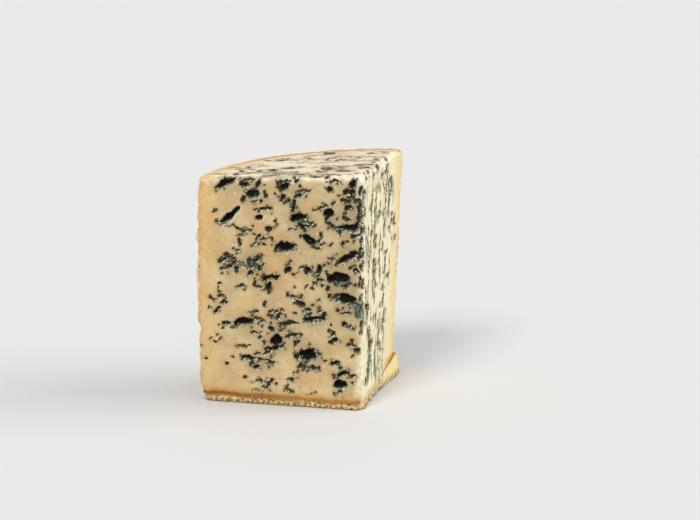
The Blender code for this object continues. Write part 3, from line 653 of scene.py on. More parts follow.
def smearField(points, shares, patches, unrest):
    places = facePlaces(points + drift(points, 1.5 * unrest, 31) * unrest)
    amount = np.zeros(len(points))
    for side, (u, v) in places.items():
        for cu, cv, a, b, tilt, _ in patches[side]:
            c, s = math.cos(math.radians(tilt)), math.sin(math.radians(tilt))
            x, y = ((u - cu) * c + (v - cv) * s) / a, ((v - cv) * c - (u - cu) * s) / b
            amount = np.maximum(amount, ease(1.15, 0.35, np.hypot(x, y)) * shares[side])
    return amount


def rindShare(points):
    radius = np.hypot(points[:, 0], points[:, 1])
    wall = ease(-0.9, -0.1, radius - wheelRadius(points[:, 2]))
    return np.maximum(wall, ease(0.7, 0.2, points[:, 2]))


def wantedEdge(points):
    near, _ = mouldField(points, nearFaces(points))
    radius = np.hypot(points[:, 0], points[:, 1])
    size = np.full(len(points), wedge["spacing"])
    size[points[:, 2] < 7.5] = mouldLook["nearMesh"]
    size[(radius > wheelRadius(points[:, 2]) - 1.5)] = mouldLook["crustMesh"]
    size[np.sort(insets(points), axis=1)[:, 1] < 3.0] = mouldLook["edgeMesh"]
    size[points[:, 2] < 3.4] = mouldLook["edgeMesh"]
    size[points[:, 2] < 0.05] = wedge["spacing"]
    size[near > -1.0] = mouldLook["nearMesh"]
    size[(near > -0.4) & (near < 0.6)] = mouldLook["fineMesh"]
    return size


points, triangles = buildWedge()
low, high = points.min(0), points.max(0)
centre = np.array([(low[0] + high[0]) / 2, (low[1] + high[1]) / 2, 0])
boxCentre = np.array([(boxLow[0] + boxHigh[0]) / 2, (boxLow[1] + boxHigh[1]) / 2, boxLow[2]])
toPart = boxCentre - centre      # from the cutting edge to the part's own origin
print("wedge form", len(triangles), "triangles")

points, triangles = refine(points, triangles, wantedEdge, 4)
print("refined", len(triangles), "triangles")

normals = pointNormals(points, triangles)
shares = faceShares(normals)
strayed = wander(points)
near, depth = mouldField(points, shares, strayed)
radius = np.hypot(points[:, 0], points[:, 1])
height = points[:, 2]
toWall = wheelRadius(height) - radius
flat = points[:, 0] + 1j * points[:, 1]
radial = np.column_stack([flat.real, flat.imag, 0 * radius]) / np.maximum(radius, 1)[:, None]
outward = (normals * radial).sum(1)

# distance in from each cut face and from the top; the second smallest says how near an edge is
inLeft, inRight, under = insets(points).T
toEdge = np.sort(insets(points), axis=1)[:, 1]
reach = blend(3.0, 5.2, ease(112, 119, height)) + 1.5 * ease(40, 20, height)
edge = ease(0, 1, (reach - toEdge - 1.3 * hills(points, 5, 41)) / (reach - 1.0))
ear = ease(0.3, 1.4, -inRight) * ease(13, 11, height)
fromEdge = (flat * np.conj(along["right"])).real
earHere = ease(wedge["earStart"], 84, fromEdge)
earTop = blend(wedge["stepRim"], wedge["earHeight"], earHere)
slit = ease(1.8, 0.4, np.abs(height - earTop)) * ease(0.2, 0.8, earHere) * ease(3.5, 1.5, np.abs(inRight))

# the rind: the round wall and the underside, and a crinkled corner where the knife went through it
wallCrust = np.maximum(ease(0.55, 0.8, outward) * ease(4, 2, toWall), ease(1.2, 0.2, toWall + 0.5 * hills(points, 3, 42)))
baseCrust = ease(-0.5, -0.8, normals[:, 2]) * ease(8, 4, height)
crust = np.maximum(wallCrust, baseCrust)
corner = ease(rindLook["cornerBand"], 0.4, toWall) * ease(1.5, 4, height)
lumps = 0.5 * hills(points, 4.4, 21) + 0.4 * hills(points, 2.2, 22) + 0.3 * hills(points, 1.2, 23)
pits = ease(0.30, 0.62, 0.7 * hills(points, 5, 24) + 0.5 * hills(points, 2.2, 29))
sunk = np.maximum(rindLook["relief"] * (0.9 - lumps * 1.5), 0) + rindLook["pits"] * pits
paste = 1 - np.maximum(crust, corner)

# how much the outline of a spot faces down and to the right, where its lip catches the light
upLeft = {"left": np.array([*(-0.45 * np.array([along["left"].real, along["left"].imag]) * -1), 0.45]),
          "right": np.array([*(-0.5 * np.array([along["right"].real, along["right"].imag])), 0.45]),
          "top": np.array([-0.4, 0.4, 0])}
nearUp, _ = mouldField(points + sum(shares[side][:, None] * step for side, step in upLeft.items()), shares, strayed)
lipSide = ease(0.1, 0.5, nearUp - near)

pocketNear, _ = pocketField(points, shares, strayed)
bold = ease(-0.6, 0.2, spotField(*facePlaces(points + strayed)["right"], edgeSpots)[0]) * shares["right"]
pocketLip = np.exp(-((pocketNear + 0.3) / 0.4) ** 2) * ease(0.35, -0.1, near)
fineRelief = 0.15 * hills(points, 2.2, 25) + 0.25 * hills(points, 7, 26) + 0.1 * hills(points, 1.2, 28)
ripple = ease(5, 2, toEdge) * (0.5 * hills(points, 3.4, 30) + 0.35 * hills(points, 1.7, 32))
chips = ease(3.4, 0.8, toEdge) * ease(0.2, 0.8, hills(points, 4.0, 45)) * ease(118, 112, height)
folds = (1 - shares["left"]) * 0.22 * hills(points * [1, 1, 0.14], 2.4, 46) * ease(0.3, 0.6, shares["right"])
crumbs = ease(3.8, 2.6, height + 0.9 * hills(points, 3, 47)) * (0.5 * hills(points, 2.0, 48) + 0.35 * hills(points, 1.2, 49))
lip = mouldLook["lip"] * np.exp(-((near + 0.35) / 0.35) ** 2) * (0.4 + lipSide)
downwards = normals[:, 2] < -0.5
push = paste * (fineRelief + ripple + lip + 0.2 * pocketLip + folds - 1.1 * chips) - depth * np.maximum(paste, 0.3) + crumbs * ~downwards
moved = points + normals * push[:, None]
moved -= radial * (1.0 * corner * ease(0.0, 0.7, hills(points, 5, 51)))[:, None]
moved -= radial * (sunk * np.maximum(wallCrust * ~downwards, corner))[:, None]
moved[:, 2] += np.where(downwards, 0.8 * sunk * ease(0.35, 0.9, crust), 0)


def keepInBox(places):
    return np.clip(places, boxLow + 0.005, boxHigh - 0.005)


moved = keepInBox(moved + toPart)
print("displaced", len(points), "points")


def addFloats(mesh, **values):
    for name, value in values.items():
        mesh.attributes.new(name, "FLOAT", "POINT").data.foreach_set("value", np.asarray(value, np.float32))


def meshPiece(name, points, triangles, smooth=True):
    mesh = bpy.data.meshes.new(name)
    mesh.from_pydata((points * 0.001).tolist(), [], triangles.tolist())
    mesh.polygons.foreach_set("use_smooth", np.full(len(triangles), smooth))
    mesh.update()
    piece = bpy.data.objects.new(name, mesh)
    scene.collection.objects.link(piece)
    return piece


body = meshPiece("cheese_body", moved, triangles)
addFloats(body.data, mould=np.clip(near, -3, 3), hollow=depth / 3, lipSide=lipSide, smear=smearField(points, shares, smears, 4), teal=smearField(points, shares, tealPatches, 2),
          toWall=np.clip(toWall, 0, 60), crust=crust, sunk=sunk, edge=edge, ear=ear, slit=slit, pocketLip=pocketLip,
          bold=np.maximum(ease(13, 7, radius), bold), crowd=crowding(points, shares), leftFace=shares["left"], topFace=shares["top"], height=height, hang=ease(-0.3, -0.6, normals[:, 2]))
print("body made")


def paint(red, green, blue):
    return [(v / 255 / 12.92 if v <= 10 else ((v / 255 + 0.055) / 1.055) ** 2.4) for v in (red, green, blue)] + [1]


# a small kit for node materials: distances in mm, on Object coordinates
class Shader:
    def __init__(self, name):
        self.material = bpy.data.materials.new(name)
        self.material.use_nodes = True
        self.tree = self.material.node_tree
        self.surface = self.tree.nodes["Principled BSDF"]
        self.place = self.tree.nodes.new("ShaderNodeTexCoord").outputs["Object"]

    def put(self, socket, value):
        if isinstance(value, bpy.types.NodeSocket):
            self.tree.links.new(value, socket)
        else:
            socket.default_value = value

    def node(self, kind, **inputs):
        made = self.tree.nodes.new(kind)
        for key, value in inputs.items():
            self.put(made.inputs[key], value)
        return made

    def attribute(self, name):
        made = self.tree.nodes.new("ShaderNodeAttribute")
        made.attribute_name = name
        return made.outputs["Fac"]

    # noise whose features are about this many millimetres across
    def noise(self, size, detail=2, rough=0.5):
        return self.node("ShaderNodeTexNoise", Vector=self.place, Scale=1000 / size, Detail=detail, Roughness=rough).outputs["Fac"]

    # the same drawn out along a knife stroke
    def stroke(self, size, stretch, turn=0.0):
        drawn = self.node("ShaderNodeMapping", Vector=self.place, Rotation=(0, 0, math.radians(turn)), Scale=stretch)
        drawn.vector_type = "TEXTURE"
        return self.node("ShaderNodeTexNoise", Vector=drawn.outputs[0], Scale=1000 / size, Detail=3, Roughness=0.6).outputs["Fac"]

    def math(self, operation, a, b=0.0):
        made = self.tree.nodes.new("ShaderNodeMath")
        made.operation = operation
        self.put(made.inputs[0], a)
        self.put(made.inputs[1], b)
        return made.outputs[0]

    # 0 at low, 1 at high, smooth between
    def ease(self, value, low, high, lowOut=0.0, highOut=1.0):
        made = self.tree.nodes.new("ShaderNodeMapRange")
        made.interpolation_type = "SMOOTHSTEP"
        if low > high:
            low, high, lowOut, highOut = high, low, highOut, lowOut
        for key, setting in (("From Min", low), ("From Max", high), ("To Min", lowOut), ("To Max", highOut)):
            made.inputs[key].default_value = setting
        self.tree.links.new(value, made.inputs["Value"])
        return made.outputs["Result"]

    def mix(self, amount, a, b):
        made = self.tree.nodes.new("ShaderNodeMix")
        made.data_type = "RGBA"
        for index, value in ((0, amount), (6, a), (7, b)):
            self.put(made.inputs[index], value)
        return made.outputs[2]

    def finish(self, colour, rough, bumps, subsurface=0.0, gloss=0.15):
        self.put(self.surface.inputs["Base Color"], colour)
        self.put(self.surface.inputs["Roughness"], rough)
        normal = None
        for strength, distance, height in bumps:
            bump = self.node("ShaderNodeBump", Strength=strength, Distance=distance, Height=height)
            if normal:
                self.tree.links.new(normal, bump.inputs["Normal"])
            normal = bump.outputs["Normal"]
        if normal:
            self.tree.links.new(normal, self.surface.inputs["Normal"])
        self.surface.inputs["Specular IOR Level"].default_value = gloss
        self.surface.inputs["Subsurface Weight"].default_value = subsurface
        self.surface.inputs["Subsurface Radius"].default_value = (1.0, 0.6, 0.3)
        self.surface.inputs["Subsurface Scale"].default_value = 0.002
        return self.material


cheeseColours = {
    # the left face is a darker tan than the right face and the top: partly drier paste, partly painted shade of that
    # face
    "left": paint(216, 195, 149), "leftDeep": paint(199, 173, 127),
    "right": paint(240, 234, 202), "rightDeep": paint(233, 220, 177),
    "top": paint(238, 223, 198), "topDeep": paint(229, 207, 177),
    "edge": paint(232, 220, 184), "topEdge": paint(246, 238, 214), "ear": paint(240, 218, 156),
    "rim": paint(214, 154, 78), "rimPale": paint(232, 192, 124), "rimFresh": paint(237, 206, 138), "topRim": paint(204, 148, 94),
    "stain": paint(158, 134, 94), "rust": paint(150, 100, 56), "dot": paint(60, 44, 28),
    "fleckAndGlint": paint(250, 246, 232), "speck": paint(122, 112, 70),
    "fringeAndGlint": paint(206, 208, 182), "mould": paint(66, 61, 40), "mouldDeep": paint(36, 32, 21), "hollow": paint(9, 7, 5),
    "softMould": paint(118, 121, 94), "wall": paint(92, 89, 64), "teal": paint(108, 124, 98), "smear": paint(160, 156, 134),
    "freshMould": paint(54, 61, 36), "freshSoft": paint(126, 133, 94), "topMould": paint(106, 106, 90), "topSoft": paint(142, 146, 134),
    "foldPale": paint(250, 244, 222), "foldDeep": paint(214, 196, 156),
    "crustPale": paint(233, 220, 186), "crustTan": paint(206, 164, 108), "crustGrey": paint(182, 174, 156), "crustDark": paint(104, 76, 48),
    "ledge": paint(211, 164, 94), "ledgeLow": paint(178, 126, 60), "ochre": paint(214, 170, 112), "brown": paint(112, 72, 36), "flake": paint(240, 228, 196), "ledgeShadowLine": paint(140, 86, 32), "slit": paint(240, 188, 76), "lipPale": paint(236, 230, 204), "crumb": paint(217, 194, 146),
}


def cheeseMaterial():
    look = cheeseColours
    s = Shader("cheese_paste")
    leftFace, topFace, edge, crust = (s.attribute(name) for name in ("leftFace", "topFace", "edge", "crust"))
    mould, height, lipSide = (s.attribute(name) for name in ("mould", "height", "lipSide"))
    both = lambda *values: functools.reduce(lambda a, b: s.math("MULTIPLY", a, b), values)
    mottle = s.ease(s.noise(10, 4, 0.6), 0.35, 0.68)
    leftPaste = s.mix(mottle, look["left"], look["leftDeep"])
    leftPaste = s.mix(s.ease(s.noise(22, 3, 0.6), 0.48, 0.62, 0, 0.55), leftPaste, look["ochre"])
    rightPaste = s.mix(mottle, look["right"], look["rightDeep"])
    topPaste = s.mix(mottle, look["top"], look["topDeep"])
    paste = s.mix(topFace, s.mix(leftFace, rightPaste, leftPaste), topPaste)
    # a pale strip along the cut edges, whiter near the top: partly paler worn paste, partly painted highlight on the
    # rounded edges
    edgePasteAndHighlight = s.mix(s.ease(height, 112, 120), look["edge"], look["topEdge"])
    paste = s.mix(both(edge, s.ease(s.noise(4, 3, 0.6), 0.32, 0.5, 0.45, 0.95)), paste, edgePasteAndHighlight)
    drawn = s.mix(topFace, s.stroke(1.7, (1, 1, 9)), s.stroke(1.7, (9, 1, 1), -30))
    notLeft = s.ease(leftFace, 0.8, 0.2)
    paste = s.mix(both(s.ease(drawn, 0.54, 0.66, 0, 0.7), notLeft), paste, look["foldPale"])
    paste = s.mix(both(s.ease(drawn, 0.44, 0.34, 0, 0.7), notLeft), paste, look["foldDeep"])

    # the paste is warmer towards the rind, with a rusty rim round the top
    toWall = s.math("ADD", s.attribute("toWall"), s.ease(s.noise(5, 3), 0.3, 0.7, -1.5, 1.5))
    freshFace = both(s.ease(leftFace, 0.7, 0.3), s.ease(topFace, 0.7, 0.3))
    paste = s.mix(both(s.ease(toWall, 17, 3, 0, 0.5), leftFace), paste, look["rimPale"])
    paste = s.mix(both(s.ease(toWall, 26, 4, 0, 0.8), freshFace), paste, look["rimFresh"])
    paste = s.mix(both(s.ease(toWall, 4.0, 1.0, 0, 0.72), s.ease(topFace, 0.7, 0.2)), paste, look["rim"])
    across = s.node("ShaderNodeSeparateXYZ", Vector=s.place).outputs["X"]
    paste = s.mix(both(s.ease(toWall, 17, 7, 0, 0.55), topFace, s.ease(across, -0.02, 0.03, 1, 0.75)), paste, look["rimPale"])
    farRim = both(s.ease(toWall, 9.0, 5.6, 0, 0.9), s.ease(topFace, 0.3, 0.7), s.ease(across, -0.05, -0.01, 0.3, 1))
    paste = s.mix(farRim, paste, look["topRim"])
    paste = s.mix(s.attribute("ear"), paste, look["ear"])
    paste = s.mix(both(s.attribute("slit"), 0.85), paste, look["slit"])

    # grain of the cut: a stained halo where mould is near, pale flecks as painted glints, specks, a few dark dots
    grain = s.noise(1.1, 3, 0.6)
    crowded = both(s.ease(s.attribute("crowd"), 0.2, 1.2, 0, 0.62), s.ease(s.noise(12, 3), 0.3, 0.6, 0.5, 1), leftFace)
    paste = s.mix(crowded, paste, look["stain"])
    pores = s.noise(1.5, 5, 0.7)
    porous = both(s.ease(pores, 0.50, 0.38, 0, 0.3), s.ease(topFace, 0.6, 0.2))
    paste = s.mix(porous, paste, s.mix(leftFace, look["rightDeep"], look["leftDeep"]))
    paste = s.mix(both(s.ease(pores, 0.37, 0.31, 0, 0.6), s.ease(leftFace, 0.4, 0.8)), paste, look["speck"])
    halo = both(s.ease(mould, -1.4, -0.2, 0, 0.6), s.ease(s.noise(3.4, 4, 0.6), 0.38, 0.58))
    paste = s.mix(halo, paste, look["stain"])
    rust = both(s.ease(mould, -1.3, -0.4), s.ease(s.noise(3.8, 3, 0.6), 0.52, 0.64, 0, 0.65), s.ease(lipSide, 0.5, 0.0))
    paste = s.mix(rust, paste, look["rust"])
    # pale flecks on the paste: painted glints
    paste = s.mix(both(s.ease(grain, 0.61, 0.73, 0, 0.6), s.ease(s.noise(9, 3), 0.45, 0.6)), paste, look["fleckAndGlint"])
    paste = s.mix(both(s.ease(grain, 0.38, 0.28, 0, 0.6), s.ease(s.noise(8, 3), 0.42, 0.6)), paste, look["speck"])
    cells = s.node("ShaderNodeTexVoronoi", Vector=s.place, Scale=1000 / 4.2)
    dotted = both(s.ease(cells.outputs["Distance"], 0.11, 0.06), s.ease(cells.outputs["Color"], 0.52, 0.56, 0, 0.85))
    paste = s.mix(both(dotted, s.ease(topFace, 0.6, 0.2)), paste, look["dot"])

    # bloom and mould; on the top and the fresh face it is softer and greyer
    patch = both(s.attribute("smear"), s.ease(s.noise(3, 4, 0.65), 0.36, 0.60))
    paste = s.mix(both(patch, 0.6), paste, look["smear"])
    ragged = s.math("ADD", mould, s.ease(s.noise(0.9, 3, 0.6), 0.3, 0.7, -0.32, 0.32))
    ragged = s.math("ADD", ragged, both(s.ease(drawn, 0.35, 0.65, -0.5, 0.5), notLeft))
    ragged = s.math("SUBTRACT", ragged, both(topFace, 0.16))
    soft = both(s.ease(leftFace, 0.9, 0.2), s.ease(s.noise(5, 2), 0.30, 0.5), s.ease(s.attribute("bold"), 1, 0))
    dark = s.mix(s.ease(ragged, -0.34, 0.02, 0, 0.9), paste, look["mould"])
    dark = s.mix(s.ease(ragged, -0.02, 0.3), dark, look["mouldDeep"])
    outer = s.mix(topFace, look["freshMould"], look["topMould"])
    inner = s.mix(topFace, look["freshSoft"], look["topSoft"])
    pale = s.mix(s.ease(ragged, -0.4, 0.0, 0, 0.9), paste, outer)
    pale = s.mix(both(s.ease(ragged, 0.4, 0.9, 0, 0.85), s.ease(s.noise(2.4, 3, 0.6), 0.40, 0.55)), pale, inner)
    blue = s.mix(soft, dark, pale)
    tuft = s.ease(s.noise(1.5, 3, 0.6), 0.54, 0.64, 0, 0.7)
    blue = s.mix(both(tuft, s.ease(ragged, 0.1, 0.3)), blue, look["wall"])
    # near-black deep in the hollows, less on their lit lower-right side: dark mould with painted shade
    hollow = s.ease(s.math("SUBTRACT", s.attribute("hollow"), both(lipSide, 0.35)), 0.22, 0.5, 0, 0.95)
    blue = s.mix(hollow, blue, look["hollow"])
    # grey-green mould, made lighter on the lower-right inner walls of the hollows as painted light where those walls
    # face the light
    wall = both(lipSide, s.ease(mould, -0.2, 0.1), s.ease(mould, 1.5, 0.7), s.ease(s.noise(1.9, 3, 0.6), 0.38, 0.52))
    blue = s.mix(both(wall, 0.9), blue, look["softMould"])
    # a pale strip on the lower-right lips of the spots, where they catch the light: painted highlight
    litFringeStrip = both(lipSide, s.ease(mould, -0.5, -0.15), s.ease(mould, 0.8, 0.3), s.ease(s.noise(1.3, 3, 0.6), 0.47, 0.56))
    blue = s.mix(both(litFringeStrip, 0.95), blue, look["fringeAndGlint"])
    # a pale lip round each pocket, strongest on the lower-right side: pale paste with painted highlight where it faces
    # the light
    pocketLipLit = both(s.attribute("pocketLip"), s.ease(lipSide, 0.0, 0.4, 0.25, 1), s.ease(s.noise(1.6, 3, 0.6), 0.36, 0.5))
    blue = s.mix(both(pocketLipLit, 0.9), blue, look["lipPale"])
    furry = both(s.attribute("teal"), s.ease(s.noise(2.0, 4, 0.65), 0.36, 0.52, 0, 0.9))
    blue = s.mix(furry, blue, look["teal"])

    # the crust of the rind, dark where it is pitted
    bloom = s.mix(s.ease(s.noise(17, 5, 0.65), 0.42, 0.60, 0, 0.9), look["crustPale"], look["crustTan"])
    bloom = s.mix(s.ease(s.noise(12, 5, 0.65), 0.52, 0.64, 0, 0.75), bloom, look["crustGrey"])
    bloom = s.mix(s.ease(s.attribute("sunk"), 0.45, 1.0, 0, 0.85), bloom, look["crustDark"])
    bloom = s.mix(s.ease(grain, 0.56, 0.70, 0, 0.6), bloom, look["fleckAndGlint"])
    colour = s.mix(crust, blue, bloom)

    # the ledge of bottom rind: ochre under the knife's step, tan below, a dark painted shadow just above the foot,
    # brown painted shadow between the nodules at the foot
    level = s.math("ADD", height, s.ease(s.noise(6, 2), 0.3, 0.7, -0.6, 0.6))
    cutSide = both(s.ease(crust, 0.6, 0.1), s.ease(s.attribute("hang"), 0.6, 0.1), s.ease(s.attribute("ear"), 0.8, 0.2))
    ledgeSide = both(cutSide, s.ease(leftFace, 0.0, 0.6, 0.25, 1))
    colour = s.mix(both(s.ease(level, 8.6, 6.0, 0, 0.75), ledgeSide), colour, look["ledge"])
    colour = s.mix(both(s.ease(level, 5.4, 3.8, 0, 0.8), ledgeSide), colour, look["ledgeLow"])
    # a dark stripe just above the nodules: painted shadow of the gap under the ledge
    ledgeShadowMask = both(s.ease(level, 6.2, 4.8), s.ease(level, 2.8, 3.8), s.ease(s.attribute("toWall"), 60, 10, 0.4, 0.85))
    colour = s.mix(both(ledgeShadowMask, ledgeSide), colour, look["ledgeShadowLine"])
    low = s.ease(s.math("ADD", height, s.ease(s.noise(3, 2), 0.3, 0.7, -0.9, 0.9)), 3.6, 2.8)
    colour = s.mix(both(low, s.ease(s.noise(1.8, 3, 0.6), 0.44, 0.56, 0.1, 0.85), cutSide), colour, look["crumb"])
    # brown between the nodules at the foot: painted shadow
    gapShadow = both(low, s.ease(s.noise(1.7, 3), 0.55, 0.44), s.ease(leftFace, 0.0, 0.6, 0.3, 0.9))
    colour = s.mix(both(gapShadow, cutSide), colour, look["brown"])

    rough = s.ease(s.noise(2.5, 3), 0.3, 0.7, 0.36, 0.7)
    pulled = s.mix(notLeft, s.noise(2.6, 4, 0.6), drawn)
    return s.finish(colour, rough, [(0.75, 0.001, pulled), (0.6, 0.0005, s.noise(0.8, 3, 0.65)), (0.5, 0.0005, pores)], 0.1)


def crustMaterial():
    look = cheeseColours
    s = Shader("rind_bloom")
    colour = s.mix(s.ease(s.noise(17, 5, 0.65), 0.44, 0.62, 0, 0.8), look["crustPale"], look["crustTan"])
    colour = s.mix(s.ease(s.noise(12, 5, 0.65), 0.52, 0.64, 0, 0.7), colour, look["crustGrey"])
    colour = s.mix(s.ease(s.noise(1.6, 3, 0.6), 0.5, 0.66, 0, 0.7), colour, look["fleckAndGlint"])
    colour = s.mix(s.ease(s.noise(2.0, 3, 0.6), 0.40, 0.30, 0, 0.5), colour, look["crustDark"])
    return s.finish(colour, 0.8, [(0.5, 0.0003, s.noise(0.6, 3, 0.6))], 0.1)


def footMaterial():
    look = cheeseColours
    s = Shader("foot_bloom")
    colour = s.mix(s.ease(s.noise(4, 3, 0.6), 0.40, 0.62, 0, 0.7), look["crumb"], look["ear"])
    colour = s.mix(s.ease(s.noise(2.4, 3, 0.6), 0.54, 0.42, 0, 0.85), colour, look["crustTan"])
    level = s.node("ShaderNodeSeparateXYZ", Vector=s.place).outputs["Z"]
    # darker towards the floor: painted shadow under the nodules
    colour = s.mix(s.ease(level, 0.0014, 0.0002, 0, 0.8), colour, look["ledgeLow"])
    colour = s.mix(s.ease(s.noise(1.5, 3, 0.6), 0.58, 0.68, 0, 0.6), colour, look["fleckAndGlint"])
    return s.finish(colour, 0.7, [(0.5, 0.0003, s.noise(0.6, 3, 0.6))], 0.1)


# small glossy lumps in pale mint and white along the lower-right lips of the mould: painted glints where the lips catch
# the light
def glintMaterial():
    look = cheeseColours
    s = Shader("painted_glint_lip")
    colour = s.mix(s.ease(s.noise(3, 3, 0.6), 0.42, 0.58), look["fringeAndGlint"], look["fleckAndGlint"])
    return s.finish(colour, 0.28, [(0.3, 0.0002, s.noise(0.5, 2))], 0.1, 0.6)


def flakeMaterial():
    look = cheeseColours
    s = Shader("paste_flake")
    colour = s.mix(s.ease(s.noise(2, 3, 0.6), 0.42, 0.60), look["rimPale"], look["flake"])
    return s.finish(colour, 0.45, [(0.4, 0.0002, s.noise(0.6, 2))], 0.1, 0.3)


def tuftMaterial():
    look = cheeseColours
    s = Shader("mould_tuft")
    colour = s.mix(s.ease(s.noise(2.2, 3, 0.6), 0.46, 0.60), look["mouldDeep"], look["softMould"])
    colour = s.mix(s.ease(s.noise(1.0, 2, 0.6), 0.60, 0.70, 0, 0.8), colour, look["fringeAndGlint"])
    return s.finish(colour, 0.65, [(0.4, 0.0002, s.noise(0.4, 2))])


cheeseShade, crustShade, footShade = cheeseMaterial(), crustMaterial(), footMaterial()
tuftShade, glintShade, flakeShade = tuftMaterial(), glintMaterial(), flakeMaterial()
body.data.materials.append(cheeseShade)
print("materials made")

# small lumps of one kind scattered by Geometry Nodes where an attribute of the body is high
grainKinds = {
    "rind_grains": {"attribute": "grainShare", "perSquareCm": 48.0, "seed": 3, "small": 0.22, "large": 0.85, "flat": 0.5, "stretch": 1.3,
                    "rings": 1, "material": crustShade},
    "rind_lumps": {"attribute": "lumpShare", "perSquareCm": 4.0, "seed": 5, "small": 0.9, "large": 2.2, "flat": 0.3, "stretch": 1.4,
                   "rings": 2, "material": crustShade},
    "mould_tufts": {"attribute": "tuftShare", "perSquareCm": 170.0, "seed": 8, "small": 0.16, "large": 0.40, "flat": 0.7, "stretch": 1.0,
                    "rings": 1, "material": tuftShade},
    # pale glossy dots on the lower-right lips of the mould: painted glints
    "painted_glint_lips": {"attribute": "glintShare", "perSquareCm": 130.0, "seed": 12, "small": 0.14, "large": 0.38, "flat": 0.6, "stretch": 1.5,
                 "rings": 1, "material": glintShade},
    "paste_flakes": {"attribute": "flakeShare", "perSquareCm": 0.9, "seed": 15, "small": 0.2, "large": 0.48, "flat": 0.45, "stretch": 1.9,
                     "rings": 2, "material": flakeShade},
}


class Tree:
    def __init__(self, name, inputs):
        self.tree = bpy.data.node_groups.new(name, "GeometryNodeTree")
        self.tree.interface.new_socket("Geometry", in_out="INPUT", socket_type="NodeSocketGeometry")
        for key, kind in inputs.items():
            self.tree.interface.new_socket(key, in_out="INPUT", socket_type=kind)
        self.tree.interface.new_socket("Geometry", in_out="OUTPUT", socket_type="NodeSocketGeometry")
        self.inputs = self.tree.nodes.new("NodeGroupInput").outputs
        self.result = self.tree.nodes.new("NodeGroupOutput").inputs[0]

    def node(self, kind, settings=None, **inputs):
        made = self.tree.nodes.new(kind)
        for key, value in (settings or {}).items():
            setattr(made, key, value)
        for key, value in inputs.items():
            socket = made.inputs[int(key[1:]) if key[0] == "i" and key[1:].isdigit() else key.replace("_", " ")]
            if isinstance(value, bpy.types.NodeSocket):
                self.tree.links.new(value, socket)
            else:
                socket.default_value = value
        return made

    # instance, realise, name the material and finish the tree
    def close(self, placed, material):
        real = self.node("GeometryNodeRealizeInstances", Geometry=placed)
        smooth = self.node("GeometryNodeSetShadeSmooth", Geometry=real.outputs[0])
        coat = self.node("GeometryNodeSetMaterial", Geometry=smooth.outputs[0], Material=material)
        self.tree.links.new(coat.outputs[0], self.result)
        return self.tree


# a lump with a slightly uneven surface
def lumpNodes(t, rings, wobbly=1.1):
    ball = t.node("GeometryNodeMeshIcoSphere", Radius=1.0, Subdivisions=rings)
    wobble = t.node("ShaderNodeTexNoise", Scale=1.3, Detail=1.0)
    push = t.node("ShaderNodeVectorMath", {"operation": "SUBTRACT"}, i0=wobble.outputs["Color"], i1=(0.5, 0.5, 0.5))
    scaled = t.node("ShaderNodeVectorMath", {"operation": "SCALE"}, i0=push.outputs[0], Scale=wobbly)
    return t.node("GeometryNodeSetPosition", Geometry=ball.outputs["Mesh"], Offset=scaled.outputs[0]).outputs[0]


def grainTree(name, kind):
    t = Tree(name, {"Density": "NodeSocketFloat", "Smallest": "NodeSocketFloat", "Largest": "NodeSocketFloat",
                    "Flatness": "NodeSocketFloat", "Stretch": "NodeSocketFloat", "Seed": "NodeSocketInt"})
    share = t.node("GeometryNodeInputNamedAttribute", {"data_type": "FLOAT"}, Name=kind["attribute"])
    often = t.node("ShaderNodeMath", {"operation": "MULTIPLY"}, i0=share.outputs["Attribute"], i1=t.inputs["Density"])
    spots = t.node("GeometryNodeDistributePointsOnFaces", Mesh=t.inputs["Geometry"], Density=often.outputs[0], Seed=t.inputs["Seed"])
    size = t.node("FunctionNodeRandomValue", {"data_type": "FLOAT"}, i2=t.inputs["Smallest"], i3=t.inputs["Largest"], Seed=t.inputs["Seed"])
    flat = t.node("ShaderNodeMath", {"operation": "MULTIPLY"}, i0=size.outputs[1], i1=t.inputs["Flatness"])
    long = t.node("ShaderNodeMath", {"operation": "MULTIPLY"}, i0=size.outputs[1], i1=t.inputs["Stretch"])
    scale = t.node("ShaderNodeCombineXYZ", X=long.outputs[0], Y=size.outputs[1], Z=flat.outputs[0])
    spin = t.node("FunctionNodeRandomValue", {"data_type": "FLOAT"}, i2=0.0, i3=6.283, Seed=t.inputs["Seed"])
    turn = t.node("ShaderNodeCombineXYZ", Z=spin.outputs[1])
    placed = t.node("GeometryNodeInstanceOnPoints", Points=spots.outputs["Points"], Instance=lumpNodes(t, kind["rings"]),
                    Rotation=spots.outputs["Rotation"], Scale=scale.outputs[0])
    turned = t.node("GeometryNodeRotateInstances", Instances=placed.outputs[0], Rotation=turn.outputs[0])
    return t.close(turned.outputs[0], kind["material"])


# run a tree on a carrier object and keep the result as a plain mesh inside the CAD box
def growPiece(name, carrier, tree, settings, material, rough):
    modifier = carrier.modifiers.new(name, "NODES")
    modifier.node_group = tree
    for item in tree.interface.items_tree:
        if item.item_type == "SOCKET" and item.in_out == "INPUT" and item.name in settings:
            modifier[item.identifier] = settings[item.name]
    grown = carrier.evaluated_get(bpy.context.evaluated_depsgraph_get())
    mesh = bpy.data.meshes.new_from_object(grown)
    carrier.modifiers.remove(modifier)
    mesh.name = name
    mesh.materials.clear()
    mesh.materials.append(material)
    places = np.empty(len(mesh.vertices) * 3)
    mesh.vertices.foreach_get("co", places)
    places = places.reshape(-1, 3) * 1000
    places += drift(places, 0.9, settings["Seed"]) * rough
    mesh.vertices.foreach_set("co", (keepInBox(places) * 0.001).ravel())
    mesh.update()
    piece = bpy.data.objects.new(name, mesh)
    scene.collection.objects.link(piece)
    print(name, len(mesh.polygons), "faces")
    return piece


